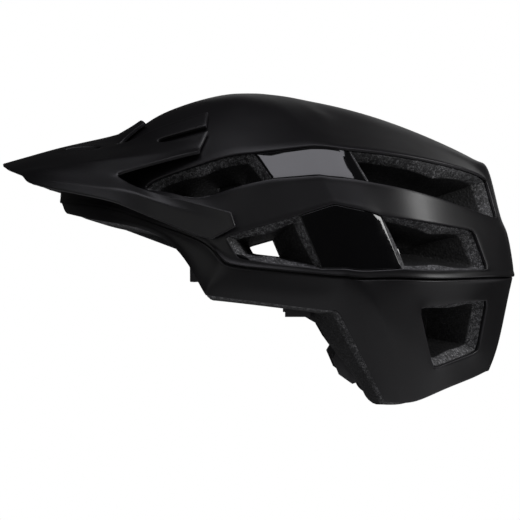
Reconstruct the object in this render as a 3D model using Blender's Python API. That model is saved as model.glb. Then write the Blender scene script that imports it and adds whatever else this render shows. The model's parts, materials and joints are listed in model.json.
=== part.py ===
"""Trail cycling helmet: two-part shell, foam liner, gloss panels, tilting visor, dial headband and straps.

Lengths are in millimetres and turn into metres when a mesh is made.
Front is -X, the wearer's left is -Y, up is +Z. The origin is the middle of the head seat.
"""

import math

import bpy
import numpy as np
from mathutils import Matrix, Vector
from mathutils.bvhtree import BVHTree

MM = 0.001
LEFT, RIGHT = -1, 1
SIDE_NAMES = {LEFT: "left", RIGHT: "right"}

# ---------------------------------------------------------------- control net of the outer surface
# The crest lies on the centre plane. Every other row runs from the centre of the front, round one side,
# to the centre of the rear, with one point per column: (x, distance from the centre plane, z).
LEVEL = 1
LAST = 14
CREST = (
    (-114, 0, 80), (-100, 0, 86), (-87, 0, 95.5), (-69, 0, 102.7), (-54, 0, 107), (-38, 0, 109.8),
    (-22, 0, 111.2), (-5, 0, 109.7), (10, 0, 107), (30, 0, 103), (59, 0, 94.6), (92, 0, 82), (117, 0, 70),
)
SPINE = (
    (-127, 0, 73), (-116, 20, 74), (-104, 32, 79), (-88, 38, 87), (-68, 41, 95), (-51, 42, 100),
    (-31, 42, 103), (-4, 42, 99), (12, 40, 96), (26, 38, 93), (40, 36, 90), (68, 32, 84), (96, 25, 75),
    (118, 15, 67), (127, 0, 65),
)
VENT_TOP = (
    (-139, 0, 65), (-125, 30, 62), (-92, 68, 48), (-84, 70, 53), (-60, 76, 61), (-40, 80, 67),
    (-24, 83, 69), (11, 86, 73), (19, 86, 73), (28, 86, 72), (37, 85, 71), (73, 75, 67), (114, 46, 59),
    (128, 20, 53), (132, 0, 59),
)
VENT_BOTTOM = (
    (-147, 0, 55), (-128, 38, 52), (-91, 70, 46), (-72, 82, 43), (-57, 88, 40), (-35, 95, 47),
    (-12, 98, 52), (17, 100, 54), (25, 100, 53), (37, 99, 52), (49, 97, 50), (80, 86, 44), (111, 57, 35),
    (134, 24, 29), (139, 0, 28),
)
SIDE_TOP = (
    (-152, 0, 48), (-129, 44, 46), (-106, 65, 42), (-79, 84, 36), (-55, 96, 29), (-40, 102, 16),
    (4, 105, 29), (26, 105, 36), (36, 105, 34), (46, 104, 32), (56, 101, 29), (85, 89, 25), (116, 58, 20),
    (137, 26, 20), (143, 0, 19),
)
SIDE_BOTTOM = (
    (-153, 0, 42), (-129, 47, 40), (-106, 67, 36), (-79, 86, 27), (-55, 97, 18), (-32, 103, 2),
    (18, 108, -4), (33, 108, -4), (41, 108, -5), (52, 106, -5), (69, 102, -4), (94, 90, -5), (125, 56, -4),
    (141, 27, -4), (147, 0, -3),
)
SEAM = (
    (-152, 0, 39), (-129, 48, 36), (-106, 68, 31), (-79, 86, 21), (-54, 97, 12), (-39, 103, -2),
    (17, 108, -8), (33, 108, -9), (41, 108, -10), (49, 106, -10), (70, 101, -10), (93, 90, -11),
    (125, 57, -10), (141, 27, -10), (147, 0, -9),
)
LOWER_UP = (
    (-151, 0, 37), (-129, 48, 34), (-106, 68, 29), (-77, 86, 19), (-53, 97, 4), (-41, 102, -8),
    (15, 106, -15), (31, 106, -17), (42, 106, -23), (53, 104, -29), (67, 98, -29), (81, 92, -29),
    (125, 52, -25), (138, 25, -26), (143, 0, -27),
)
LOWER_DOWN = (
    (-150, 0, 34), (-128, 48, 30), (-106, 68, 26), (-77, 86, 16), (-56, 96, -5), (-47, 100, -15),
    (12, 104, -23), (30, 103, -25), (46, 96, -52), (63, 92, -56), (76, 86, -61), (90, 78, -66),
    (120, 45, -57), (133, 22, -55), (137, 0, -54),
)
RIM = (
    (-148, 0, 32), (-127, 48, 27), (-106, 67, 23), (-76, 85, 12), (-58, 95, -14), (-52, 98, -21),
    (10, 101, -29), (29, 100, -32), (58, 80, -87), (68, 76, -89), (80, 70, -88), (98, 60, -81),
    (118, 36, -75), (127, 18, -72), (131, 0, -72),
)
RINGS = (SPINE, VENT_TOP, VENT_BOTTOM, SIDE_TOP, SIDE_BOTTOM, SEAM, LOWER_UP, LOWER_DOWN, RIM)
SEAM_ROW = 5

# Cells that aren't shell, by row and by first and last column.
OPENINGS = {
    "vent_front": (0, 0, 0),
    "vent_upper_front": (1, 2, 5),
    "insert_upper": (1, 6, 9),
    "vent_upper_rear": (1, 10, 12),
    "vent_side_front": (3, 5, 5),
    "insert_lower": (3, 6, 9),
    "vent_side_rear": (3, 10, 11),
    "vent_low_rear": (6, 11, 11),
}
# How far each vent narrows on its way through the foam, as a share of its width.
NARROWING = {
    "vent_front": 0.30,
    "vent_upper_front": 0.35,
    "vent_upper_rear": 0.35,
    "vent_side_front": 0.55,
    "vent_side_rear": 0.35,
    "vent_low_rear": 0.30,
}
# Corners of the openings and of the rim that stay sharp: (row, column).
CORNERS = (
    (0, 1), (1, 1), (1, 2), (2, 2), (1, 13), (2, 13), (3, 5), (4, 5), (3, 12), (4, 12),
    (6, 11), (7, 11), (6, 12), (7, 12), (8, 7), (8, 8), (8, 5),
)
CORNER_SHARPNESS = 0.8
FITTING_STEPS = 2
# Facet lines: (first row, first column, last row, last column, sharpness). Row -1 is the crest.
FACETS = (
    (-1, 7, 5, 7, 0.6),
    (0, 8, 0, 13, 0.5),
    (5, 9, 8, 9, 0.8),
    (5, 5, 8, 5, 0.4),
)

# ---------------------------------------------------------------- layers, measured inwards from the outer
# surface
SHELL_THICKNESS = 2.0
SEAM_GAP = 0.9
INSERT_OUTER, INSERT_INNER = 0.7, 2.0
INSERT_GAP = 0.35
LINER_DEPTH = 2.4
BEVEL_REACH, BEVEL_DEPTH = 4.0, 5.0

# ---------------------------------------------------------------- head
# The head leans back a little against the shell; its cavity is an ellipsoid above the widest line and a
# cylinder below.
HEAD_CENTRE = Vector((-4, 0, 0))
HEAD_TILT = math.radians(8)
CAVITY_LENGTH, CAVITY_WIDTH, CAVITY_HEIGHT = 110, 82, 84
DIAL_RECESS_DEPTH = 17
LOBE_LEAD = 13

# ---------------------------------------------------------------- headband
BAND_PIVOT = Vector((4, 0, -25))
BAND_TILT = math.radians(30)
BAND_CENTRE = 17
BAND_RADIUS = 75.0
BAND_FRONT_ANGLE = 112
PINION_RADIUS = 5.0
PINION_TEETH = 10

# ---------------------------------------------------------------- visor
VISOR_ROWS = (
    ((-190, 0, 65), (-168, 0, 71.5), (-150, 0, 77), (-127, 0, 83.5), (-115, 0, 87), (-98, 0, 91.5)),
    ((-188, 14, 64), (-166, 22, 69.5), (-148, 27, 74), (-124, 29, 76), (-113, 31, 77), (-92, 30, 87)),
    ((-186, 23, 63), (-165, 30, 68), (-146, 34, 72.5), (-120, 39, 73), (-111, 42, 75), (-90, 45, 84),
     (-74, 49, 89), (-53, 52, 95)),
    ((-184, 31, 61.5), (-164, 38, 66.5), (-145, 42, 70), (-120, 47, 70), (-103, 50, 74), (-86, 54, 78),
     (-71, 59, 82), (-54, 62, 86)),
    ((-181, 38, 60), (-162, 45, 64), (-145, 50, 66.5), (-121, 55, 67), (-106, 58, 71), (-85, 58, 76),
     (-69, 63, 78), (-53, 66, 83)),
    ((-176, 45, 58), (-161, 52, 61), (-144, 58, 62), (-121, 63, 65), (-110, 66, 66), (-91, 70, 68),
     (-73, 72, 70), (-58, 74, 72)),
    ((-173, 51, 57), (-160, 58, 60), (-144, 63, 60), (-122, 69, 58), (-111, 74, 56), (-92, 76, 61),
     (-75, 77, 66), (-58, 77, 70)),
    ((-171, 55, 54), (-160, 62, 55), (-143, 68, 55), (-121, 74, 53), (-109, 76, 54), (-99, 81, 48),
     (-87, 87, 44), (-63, 98, 38), (-38, 107, 31)),
    ((-168, 60, 52), (-159, 66, 52), (-142, 73, 50), (-122, 80, 47), (-109, 84, 46), (-95, 88, 43),
     (-82, 93, 37), (-60, 101, 30), (-35, 109, 22)),
    ((-165, 63, 51), (-158, 69, 48), (-142, 76, 45), (-123, 83, 41), (-110, 87, 38), (-95, 91, 31),
     (-78, 96, 24), (-62, 103, 17), (-50, 106, 14)),
)
# Slots of the visor: row of cells, first and last station.
VISOR_SLOTS = ((1, 2, 2), (1, 4, 4), (3, 5, 6), (6, 4, 6))
VISOR_FOLDS = ((5, 2, 7, 0.8), (8, 1, 7, 0.8), (8, 7, 8, 0.8))
VISOR_THICKNESS = 2.4
VISOR_CLEARANCE = 1.4
VISOR_PIVOT = Vector((-43, 0, 22))
PIN_RADIUS = 2.9
BUSH_RADIUS = 6.0
BUSH_START = 89.0

# ---------------------------------------------------------------- finishes
# Colour, roughness and metallic value, by the first words of a piece's name.
SHELL_BLACK = ((0.014, 0.013, 0.015), 0.48, 0.0)
GLOSS_BLACK = ((0.006, 0.006, 0.007), 0.08, 0.0)
FOAM_GREY = ((0.020, 0.020, 0.022), 0.85, 0.0)
PAD_CHARCOAL = ((0.010, 0.010, 0.011), 0.95, 0.0)
WEB_BLACK = ((0.012, 0.012, 0.013), 0.80, 0.0)
NYLON_BLACK = ((0.011, 0.010, 0.012), 0.45, 0.0)
STEEL = ((0.55, 0.55, 0.56), 0.30, 1.0)
FINISHES = {
    "top_shell": SHELL_BLACK,
    "lower_shell": SHELL_BLACK,
    "visor_pin": NYLON_BLACK,
    "visor_bush": NYLON_BLACK,
    "visor": SHELL_BLACK,
    "insert": GLOSS_BLACK,
    "eps_liner": FOAM_GREY,
    "brow_pad": PAD_CHARCOAL,
    "crown_pad": PAD_CHARCOAL,
    "side_pad": PAD_CHARCOAL,
    "cradle_pad": PAD_CHARCOAL,
    "web": WEB_BLACK,
    "dial_screw": STEEL,
    "detent_spring": STEEL,
}
SMOOTH_ANGLE = math.radians(32)


# ================================================================ small tools
def remove_everything():
    for item in list(bpy.data.objects):
        bpy.data.objects.remove(item, do_unlink=True)


def mesh_object(name, points, faces):
    """A mesh object from points in millimetres, with its normals turned outwards."""
    mesh = bpy.data.meshes.new(name)
    mesh.from_pydata([tuple(float(c) * MM for c in p) for p in points], [], faces)
    mesh.validate()
    obj = bpy.data.objects.new(name, mesh)
    bpy.context.scene.collection.objects.link(obj)
    corners = np.empty(len(mesh.vertices) * 3)
    mesh.vertices.foreach_get("co", corners)
    corners = corners.reshape(-1, 3)
    mesh.calc_loop_triangles()
    triangles = np.array([t.vertices[:] for t in mesh.loop_triangles])
    if np.linalg.det(corners[triangles]).sum() < 0:
        mesh.flip_normals()
    return obj


def evaluated_copy(obj):
    """A plain mesh of the object with its modifiers applied."""
    bpy.context.view_layer.update()
    graph = bpy.context.evaluated_depsgraph_get()
    return bpy.data.meshes.new_from_object(obj.evaluated_get(graph))


def combine(obj, other, operation):
    """Applies an exact boolean with the other object, which is then removed."""
    modifier = obj.modifiers.new(operation.lower(), "BOOLEAN")
    modifier.operation = operation
    modifier.solver = "EXACT"
    modifier.object = other
    mesh = evaluated_copy(obj)
    obj.modifiers.clear()
    obj.data = mesh
    bpy.data.objects.remove(other, do_unlink=True)
    return obj


def cut(obj, cutter):
    return combine(obj, cutter, "DIFFERENCE")


def join(obj, other):
    return combine(obj, other, "UNION")


def loft(name, sections, closed=False):
    """A solid through sections with equal point counts; a closed one runs back to its first section."""
    count = len(sections[0])
    points = [p for section in sections for p in section]
    faces = []
    spans = len(sections) if closed else len(sections) - 1
    for i in range(spans):
        here, after = i * count, (i + 1) % len(sections) * count
        for k in range(count):
            n = (k + 1) % count
            faces.append((here + k, here + n, after + n, after + k))
    if not closed:
        faces.append(tuple(range(count))[::-1])
        faces.append(tuple(range(len(points) - count, len(points))))
    return mesh_object(name, points, faces)


def circle(frame, height, radius, count=24, turn=0.0):
    """Points round the frame's x axis at a distance along it."""
    angles = [2 * math.pi * k / count + turn for k in range(count)]
    return [frame @ Vector((height, radius * math.cos(a), radius * math.sin(a))) for a in angles]


def lathe(name, frame, profile, count=24, closed=False):
    """A turned solid about the frame's x axis from (distance along it, radius) pairs."""
    return loft(name, [circle(frame, h, r, count) for h, r in profile], closed)


def block(name, frame, low, high):
    """A box between two corners of a frame."""
    sections = []
    for x in (low[0], high[0]):
        corners = ((low[1], low[2]), (high[1], low[2]), (high[1], high[2]), (low[1], high[2]))
        sections.append([frame @ Vector((x, y, z)) for y, z in corners])
    return loft(name, sections)


def slab(name, outer, inner):
    """A solid between two equal grids of points."""
    rows, columns = len(outer), len(outer[0])
    points = [p for grid in (outer, inner) for row in grid for p in row]
    half = rows * columns
    faces = []
    for r in range(rows - 1):
        for c in range(columns - 1):
            a = r * columns + c
            quad = (a, a + columns, a + columns + 1, a + 1)
            faces.append(quad)
            faces.append(tuple(i + half for i in reversed(quad)))
    edge = [c for c in range(columns)]
    edge += [r * columns + columns - 1 for r in range(1, rows)]
    edge += [(rows - 1) * columns + c for c in range(columns - 2, -1, -1)]
    edge += [r * columns for r in range(rows - 2, 0, -1)]
    for a, b in zip(edge, edge[1:] + edge[:1]):
        faces.append((a, b, b + half, a + half))
    return mesh_object(name, points, faces)


def ribbon(name, path, across, width, thickness):
    """A flat strap along a path of points, with one direction across it per point."""
    sections = []
    for i, point in enumerate(path):
        along = (path[min(i + 1, len(path) - 1)] - path[max(i - 1, 0)]).normalized()
        side = (across[i] - along * across[i].dot(along)).normalized()
        normal = along.cross(side)
        half, up = side * width / 2, normal * thickness / 2
        sections.append([point - half - up, point + half - up, point + half + up, point - half + up])
    return loft(name, sections)


def joint_empty(name, place, pieces):
    """An empty on a joint's axis, to which the pieces that move about it are parented where they lie."""
    empty = bpy.data.objects.new(name, None)
    bpy.context.scene.collection.objects.link(empty)
    empty.location = place * MM
    for piece in pieces:
        piece.parent = empty
        piece.matrix_parent_inverse = Matrix.Translation(place * -MM)
    return empty


def finish_of(name):
    for start, values in FINISHES.items():
        if name.startswith(start):
            return values
    return NYLON_BLACK


def paint(obj):
    """Gives the object a material of its own and smooth shading between its sharp edges."""
    colour, roughness, metallic = finish_of(obj.name)
    material = bpy.data.materials.new(obj.name)
    material.use_nodes = True
    shader = material.node_tree.nodes["Principled BSDF"]
    shader.inputs["Base Color"].default_value = (*colour, 1.0)
    shader.inputs["Roughness"].default_value = roughness
    shader.inputs["Metallic"].default_value = metallic
    obj.data.materials.clear()
    obj.data.materials.append(material)
    obj.data.shade_smooth()
    obj.data.set_sharp_from_angle(angle=SMOOTH_ANGLE)


# ================================================================ outer surface
class Net:
    """Control points of the outer surface on both sides, its cells with their labels, and its creases."""

    def __init__(self):
        self.points = []
        self.index = {}
        for column, point in enumerate(CREST, start=1):
            self.add(-1, column, point)
        for row, ring in enumerate(RINGS):
            for column, point in enumerate(ring):
                self.add(row, column, point)
        self.labels = {
            (row, column): label
            for label, (row, first, last) in OPENINGS.items()
            for column in range(first, last + 1)
        }
        self.faces = []
        self.face_labels = []
        self.fill_cap()
        self.fill_sides()

    def add(self, row, column, point):
        x, y, z = point
        for side in (LEFT, RIGHT):
            if y == 0 and side == RIGHT:
                self.index[row, column, RIGHT] = self.index[row, column, LEFT]
                continue
            self.index[row, column, side] = len(self.points)
            self.points.append((x, side * y, z))

    def add_face(self, corners, row, column, side):
        corners = [self.index[r, c, s] for r, c, s in corners]
        self.faces.append(corners if side == LEFT else corners[::-1])
        label = "crown" if row < SEAM_ROW else "lower"
        self.face_labels.append(self.labels.get((row, column), label))

    def fill_cap(self):
        """Cells between the crest and the spine row; the front and rear ones span both sides."""
        left, right = LEFT, RIGHT
        self.add_face([(0, 0, left), (0, 1, left), (-1, 1, left), (0, 1, right)], -1, 0, LEFT)
        end = LAST - 1
        self.add_face([(-1, end, left), (0, end, left), (0, LAST, left), (0, end, right)], -1, end, LEFT)
        for side in (LEFT, RIGHT):
            for c in range(1, end):
                corners = [(-1, c, side), (0, c, side), (0, c + 1, side), (-1, c + 1, side)]
                self.add_face(corners, -1, c, side)

    def fill_sides(self):
        for side in (LEFT, RIGHT):
            for r in range(len(RINGS) - 1):
                for c in range(LAST):
                    corners = [(r, c, side), (r + 1, c, side), (r + 1, c + 1, side), (r, c + 1, side)]
                    self.add_face(corners, r, c, side)

    def creases(self):
        """Sharpness of each edge that has any: borders between labels, the seam and the facet lines."""
        sharp = {}
        met = {}
        for corners, label in zip(self.faces, self.face_labels):
            for a, b in zip(corners, corners[1:] + corners[:1]):
                edge = (min(a, b), max(a, b))
                if met.setdefault(edge, label) != label:
                    sharp[edge] = 1.0
        for first_row, first, last_row, last, sharpness in FACETS:
            for side in (LEFT, RIGHT):
                if first == last:
                    steps = [(row, first) for row in range(first_row, last_row + 1)]
                else:
                    steps = [(first_row, column) for column in range(first, last + 1)]
                line = [self.index[r, c, side] for r, c in steps]
                for a, b in zip(line, line[1:]):
                    sharp.setdefault((min(a, b), max(a, b)), sharpness)
        return sharp

    def corners(self):
        return {self.index[row, column, side] for row, column in CORNERS for side in (LEFT, RIGHT)}


def subdivided(points, faces, face_labels, sharp_edges, sharp_points, level):
    """Points, faces and face labels after Catmull-Clark subdivision with creases."""
    names = sorted(set(face_labels))
    mesh = bpy.data.meshes.new("control_net")
    mesh.from_pydata(points, [], faces)
    for i, label in enumerate(face_labels):
        mesh.polygons[i].material_index = names.index(label)
    for _ in names:
        mesh.materials.append(None)
    edge_crease = mesh.attributes.new("crease_edge", "FLOAT", "EDGE")
    for edge in mesh.edges:
        a, b = edge.vertices
        edge_crease.data[edge.index].value = sharp_edges.get((min(a, b), max(a, b)), 0.0)
    point_crease = mesh.attributes.new("crease_vert", "FLOAT", "POINT")
    for i in sharp_points:
        point_crease.data[i].value = CORNER_SHARPNESS
    obj = bpy.data.objects.new("control_net", mesh)
    bpy.context.scene.collection.objects.link(obj)
    modifier = obj.modifiers.new("smooth", "SUBSURF")
    modifier.levels = modifier.render_levels = level
    fine = evaluated_copy(obj)
    fine_points = np.array([v.co[:] for v in fine.vertices])
    fine_faces = [tuple(p.vertices) for p in fine.polygons]
    fine_labels = [names[p.material_index] for p in fine.polygons]
    bpy.data.objects.remove(obj, do_unlink=True)
    return fine_points, fine_faces, fine_labels


def fitted(points, faces, face_labels, sharp_edges, sharp_points):
    """The control points moved outwards until the subdivided surface passes through the points given."""
    goal = np.array(points, dtype=float)
    control = goal.copy()
    for _ in range(FITTING_STEPS):
        reached, _, _ = subdivided(control.tolist(), faces, face_labels, sharp_edges, sharp_points, 2)
        control += goal - reached[:len(goal)]
    return control.tolist()


def point_normals(points, faces):
    normals = np.zeros_like(points)
    for face in faces:
        corners = points[list(face)]
        normal = np.cross(corners[2] - corners[0], corners[-1] - corners[1])
        for i in face:
            normals[i] += normal
    return normals / np.linalg.norm(normals, axis=1)[:, None]


def border_edges(faces):
    """Edges with one face, in that face's order."""
    seen = set()
    for face in faces:
        for a, b in zip(face, face[1:] + face[:1]):
            seen.add((a, b))
    return [(a, b) for a, b in seen if (b, a) not in seen]


def inset(points, normals, edges, gap):
    """The points with each border moved into the surface by the gap."""
    directions = {}
    for a, b in edges:
        along = points[b] - points[a]
        inward = np.cross((normals[a] + normals[b]) / 2, along)
        inward /= np.linalg.norm(inward)
        directions.setdefault(a, []).append(inward)
        directions.setdefault(b, []).append(inward)
    moved = points.copy()
    for i, found in directions.items():
        total = np.sum(found, axis=0)
        moved[i] += gap * total / max(total.dot(total) / len(found), 0.3)
    return moved


def thick(name, points, normals, faces, outer, inner):
    """A shell between two depths below a surface."""
    used = sorted({i for face in faces for i in face})
    new = {old: k for k, old in enumerate(used)}
    count = len(used)
    layers = [points[used] - normals[used] * depth for depth in (outer, inner)]
    solid_points = np.concatenate(layers)
    outside = [tuple(new[i] for i in face) for face in faces]
    inside = [tuple(i + count for i in reversed(face)) for face in outside]
    walls = [(b, a, a + count, b + count) for a, b in border_edges(outside)]
    return mesh_object(name, solid_points, outside + inside + walls)


class OuterSurface:
    """The fine outer surface, from which the shells, the panels and the liner take their faces."""

    def __init__(self, level):
        net = Net()
        layout = (net.faces, net.face_labels, net.creases(), net.corners())
        self.points, quads, quad_labels = subdivided(fitted(net.points, *layout), *layout, level)
        self.normals = point_normals(self.points, quads)
        self.faces = []
        self.labels = []
        for (a, b, c, d), label in zip(quads, quad_labels):
            self.faces += [(a, b, c), (a, c, d)]
            self.labels += [label, label]

    def faces_of(self, *labels):
        return [face for face, label in zip(self.faces, self.labels) if label in labels]

    def side_faces(self, label, side):
        return [face for face in self.faces_of(label) if self.points[list(face)][:, 1].mean() * side > 0]

    def seam_border(self, faces):
        """The border edges that both shells share."""
        shared = {i for face in self.faces_of("crown") for i in face}
        shared &= {i for face in self.faces_of("lower") for i in face}
        return [(a, b) for a, b in border_edges(faces) if a in shared and b in shared]

    def tree(self, depth):
        points = (self.points - self.normals * depth).tolist()
        return BVHTree.FromPolygons(points, self.faces)


# ================================================================ head cavity
HEAD_FRAME = Matrix.Translation(HEAD_CENTRE) @ Matrix.Rotation(HEAD_TILT, 4, "Y")
HEAD_FRAME_INVERSE = HEAD_FRAME.inverted()


def on_cavity(point, depth=0.0):
    """The point moved towards or away from the head's axis until it lies depth inside the cavity wall."""
    x, y, z = HEAD_FRAME_INVERSE @ Vector(point)
    length, width, height = (size - depth for size in (CAVITY_LENGTH, CAVITY_WIDTH, CAVITY_HEIGHT))
    above = max(z, 0.0)
    scale = 1 / math.sqrt((x / length) ** 2 + (y / width) ** 2 + (above / height) ** 2)
    return HEAD_FRAME @ Vector((x * scale, y * scale, z * scale if z > 0 else z))


def smooth_step(value):
    value = min(max(value, 0.0), 1.0)
    return value * value * (3 - 2 * value)


def liner_wall(point):
    """The inner face of the liner: the cavity, with a hollow at the rear for the dial."""
    wall = on_cavity(point)
    low = smooth_step((-25 - wall.z) / 30)
    middle = math.exp(-((wall.y / 26) ** 4)) if wall.x > 0 else 0.0
    return wall + Vector((DIAL_RECESS_DEPTH * low * middle, 0, 0))


# ================================================================ shell, panels and liner
def top_shell(surface):
    faces = surface.faces_of("crown")
    points = inset(surface.points, surface.normals, surface.seam_border(faces), SEAM_GAP)
    return thick("top_shell", points, surface.normals, faces, 0, SHELL_THICKNESS)


def lower_shell(surface):
    faces = surface.faces_of("lower")
    points = inset(surface.points, surface.normals, surface.seam_border(faces), SEAM_GAP)
    return thick("lower_shell", points, surface.normals, faces, 0, SHELL_THICKNESS)


def inserts(surface):
    for label in ("insert_upper", "insert_lower"):
        for side in (LEFT, RIGHT):
            faces = surface.side_faces(label, side)
            points = inset(surface.points, surface.normals, border_edges(faces), INSERT_GAP)
            name = f"{label}_{SIDE_NAMES[side]}"
            thick(name, points, surface.normals, faces, INSERT_OUTER, INSERT_INNER)


def hole_centres(surface):
    """For each point round a vent, the centre of that vent and how much it narrows."""
    centres = {}
    for label, narrowing in NARROWING.items():
        groups = [surface.faces_of(label)]
        if label != "vent_front":
            groups = [surface.side_faces(label, side) for side in (LEFT, RIGHT)]
        for faces in groups:
            rim = {a for a, _ in border_edges(faces)}
            centre = surface.points[list(rim)].mean(axis=0)
            for i in rim:
                centres[i] = (centre, narrowing)
    return centres


def lobe_lead(point):
    """How far forward of the rim the foam's inner edge reaches, in front of the low lobes at the rear."""
    x, _, z = point
    along = smooth_step((x - 12) / 12) * smooth_step((85 - x) / 25)
    down = smooth_step((-24 - z) / 8) * (1 - 0.85 * smooth_step((-45 - z) / 42))
    return LOBE_LEAD * along * down


def eps_liner(surface):
    """Foam from just under the shells to the cavity, with bevelled vents right through it."""
    faces = surface.faces_of("crown", "lower", "insert_upper", "insert_lower")
    centres = hole_centres(surface)
    used = sorted({i for face in faces for i in face})
    new = {old: k for k, old in enumerate(used)}
    count = len(used)
    outer = surface.points[used] - surface.normals[used] * LINER_DEPTH
    rim = {i for edge in border_edges(faces) for i in edge}
    middle, inner = [], []
    for k, i in enumerate(used):
        if i in centres:
            centre, narrowing = centres[i]
            to_centre = centre - outer[k]
            step = to_centre / np.linalg.norm(to_centre) * BEVEL_REACH
            middle.append(outer[k] + step - surface.normals[i] * BEVEL_DEPTH)
            inner.append(liner_wall(outer[k] + to_centre * narrowing))
        else:
            lead = lobe_lead(outer[k]) if i in rim else 0.0
            inner.append(liner_wall(outer[k] - np.array((lead, 0, 0))))
            middle.append(outer[k] * 0.5 + np.array(inner[-1]) * 0.5 - np.array((0, 0, 3.0)))
    points = [tuple(p) for p in outer] + [tuple(p) for p in middle] + [tuple(p) for p in inner]
    outside = [tuple(new[i] for i in face) for face in faces]
    inside = [tuple(i + 2 * count for i in reversed(face)) for face in outside]
    walls = []
    for a, b in border_edges(outside):
        walls.append((b, a, a + count, b + count))
        walls.append((b + count, a + count, a + 2 * count, b + 2 * count))
    used_points = sorted({i for face in outside + inside + walls for i in face})
    packed = {old: k for k, old in enumerate(used_points)}
    solid_faces = [tuple(packed[i] for i in face) for face in outside + inside + walls]
    return mesh_object("eps_liner", [points[i] for i in used_points], solid_faces)


# ================================================================ visor
def visor_net():
    """Points, faces, creases and corner points of the visor on both sides."""
    points, index, faces, folds = [], {}, [], {}
    for r, row in enumerate(VISOR_ROWS):
        for s, (x, y, z) in enumerate(row):
            for side in (LEFT, RIGHT):
                if r == 0 and side == RIGHT:
                    index[r, s, side] = index[r, s, LEFT]
                    continue
                index[r, s, side] = len(points)
                points.append((x, side * y, z))
    slots = {(r, s) for r, first, last in VISOR_SLOTS for s in range(first, last + 1)}
    for side in (LEFT, RIGHT):
        for r in range(len(VISOR_ROWS) - 1):
            for s in range(min(len(VISOR_ROWS[r]), len(VISOR_ROWS[r + 1])) - 1):
                if (r, s) in slots:
                    continue
                cell = ((r, s), (r + 1, s), (r + 1, s + 1), (r, s + 1))
                corners = [index[row, station, side] for row, station in cell]
                faces.append(corners if side == LEFT else corners[::-1])
        for r, first, last, sharpness in VISOR_FOLDS:
            for s in range(first, last):
                a, b = index[r, s, side], index[r, s + 1, side]
                folds[min(a, b), max(a, b)] = sharpness
    corner_places = ((0, 5), (1, 5), (2, 7), (3, 7), (4, 7), (6, 7), (7, 8), (8, 8), (9, 8))
    sharp = {index[r, s, side] for r, s in corner_places for side in (LEFT, RIGHT)}
    return points, faces, folds, sharp


def visor(surface):
    """The peak with its slots, its fingers over the crown and its side arms, just clear of the shell."""
    points, faces, folds, sharp = visor_net()
    points, faces, _ = subdivided(points, faces, ["visor"] * len(faces), folds, sharp, LEVEL)
    shell = surface.tree(0)
    clear = VISOR_THICKNESS + VISOR_CLEARANCE
    for _ in range(3):
        for i, point in enumerate(points):
            place, normal, _, _ = shell.find_nearest(Vector(point))
            height = (Vector(point) - place).dot(normal)
            if height < clear:
                points[i] = Vector(point) + normal * (clear - height)
    return thick("visor", points, point_normals(points, faces), faces, 0, VISOR_THICKNESS)


def side_frame(point, side):
    """A frame at a point of the centre plane with its x axis out to one side."""
    return Matrix.Translation(point) @ Matrix.Rotation(side * math.pi / 2, 4, "Z")


def tree_of(obj):
    mesh = obj.data
    points = [tuple(c / MM for c in v.co) for v in mesh.vertices]
    return BVHTree.FromPolygons(points, [tuple(p.vertices) for p in mesh.polygons])


def outer_distance(obj, place, radius):
    """The least distance from the centre plane to the object's outer face, near a place on it."""
    tree = tree_of(obj)
    found = []
    for dx, dz in ((0, 0), (radius, 0), (-radius, 0), (0, radius), (0, -radius)):
        start = Vector((place.x + dx, -200, place.z + dz))
        hit = tree.ray_cast(start, Vector((0, 1, 0)))[0]
        found.append(-hit.y)
    return min(found)


def visor_pivots(peak, shell, liner):
    """On each side a stud through the shell into a blind bore of the visor, and its bush in the foam."""
    bore_end = outer_distance(peak, VISOR_PIVOT, PIN_RADIUS) - 1.0
    bush_end = outer_distance(liner, VISOR_PIVOT, BUSH_RADIUS) - 0.3
    for side in (LEFT, RIGHT):
        frame = side_frame(VISOR_PIVOT, side)
        hole, pocket = PIN_RADIUS + 0.4, BUSH_RADIUS + 0.3
        cut(peak, lathe("pivot_bore", frame, ((85, hole), (bore_end, hole))))
        cut(shell, lathe("stud_hole", frame, ((80, hole), (125, hole))))
        cut(liner, lathe("bush_pocket", frame, ((BUSH_START - 0.4, pocket), (125, pocket))))
        bush = ((BUSH_START, hole), (BUSH_START, BUSH_RADIUS), (bush_end, BUSH_RADIUS), (bush_end, hole))
        lathe(f"visor_bush_{SIDE_NAMES[side]}", frame, bush, 20, True)
        pin = ((BUSH_START + 0.3, PIN_RADIUS), (bore_end - 0.4, PIN_RADIUS))
        lathe(f"visor_pin_{SIDE_NAMES[side]}", frame, pin, 20)


# ================================================================ pads
def low_seed(x, z, side):
    """A seed beside the head below its widest line."""
    return HEAD_FRAME @ Vector((x, side * 75, z))


def high_seed(x, angle, side):
    """A seed over the side of the head, at an angle above the widest line."""
    a = math.radians(angle)
    return HEAD_FRAME @ Vector((x, side * 75 * math.cos(a), 84 * math.sin(a)))


class LinerWall:
    """The inner face of the finished liner, on which the fittings sit."""

    def __init__(self, liner):
        self.tree = tree_of(liner)

    def at(self, seed, depth):
        """The point at a depth inside the liner wall, on the line from the head's axis through the seed."""
        cavity = on_cavity(seed)
        axis_height = min((HEAD_FRAME_INVERSE @ Vector(seed)).z, 0.0)
        start = HEAD_FRAME @ Vector((0, 0, axis_height))
        direction = (cavity - start).normalized()
        reach = (cavity - start).length
        hit, _, _, distance = self.tree.ray_cast(start, direction)
        if hit is not None and distance < reach:
            reach = distance
        return start + direction * (reach - depth)


def wall_pad(wall, name, seeds, thickness, lift=0.5):
    """A cushion on the liner wall over a grid of seed points, thinner at its border."""
    outer = [[wall.at(p, lift) for p in row] for row in seeds]
    inner = []
    for r, row in enumerate(seeds):
        line = []
        for c, p in enumerate(row):
            border = r in (0, len(seeds) - 1) or c in (0, len(row) - 1)
            line.append(wall.at(p, lift + thickness * (0.5 if border else 1.0)))
        inner.append(line)
    return slab(name, outer, inner)


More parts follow.
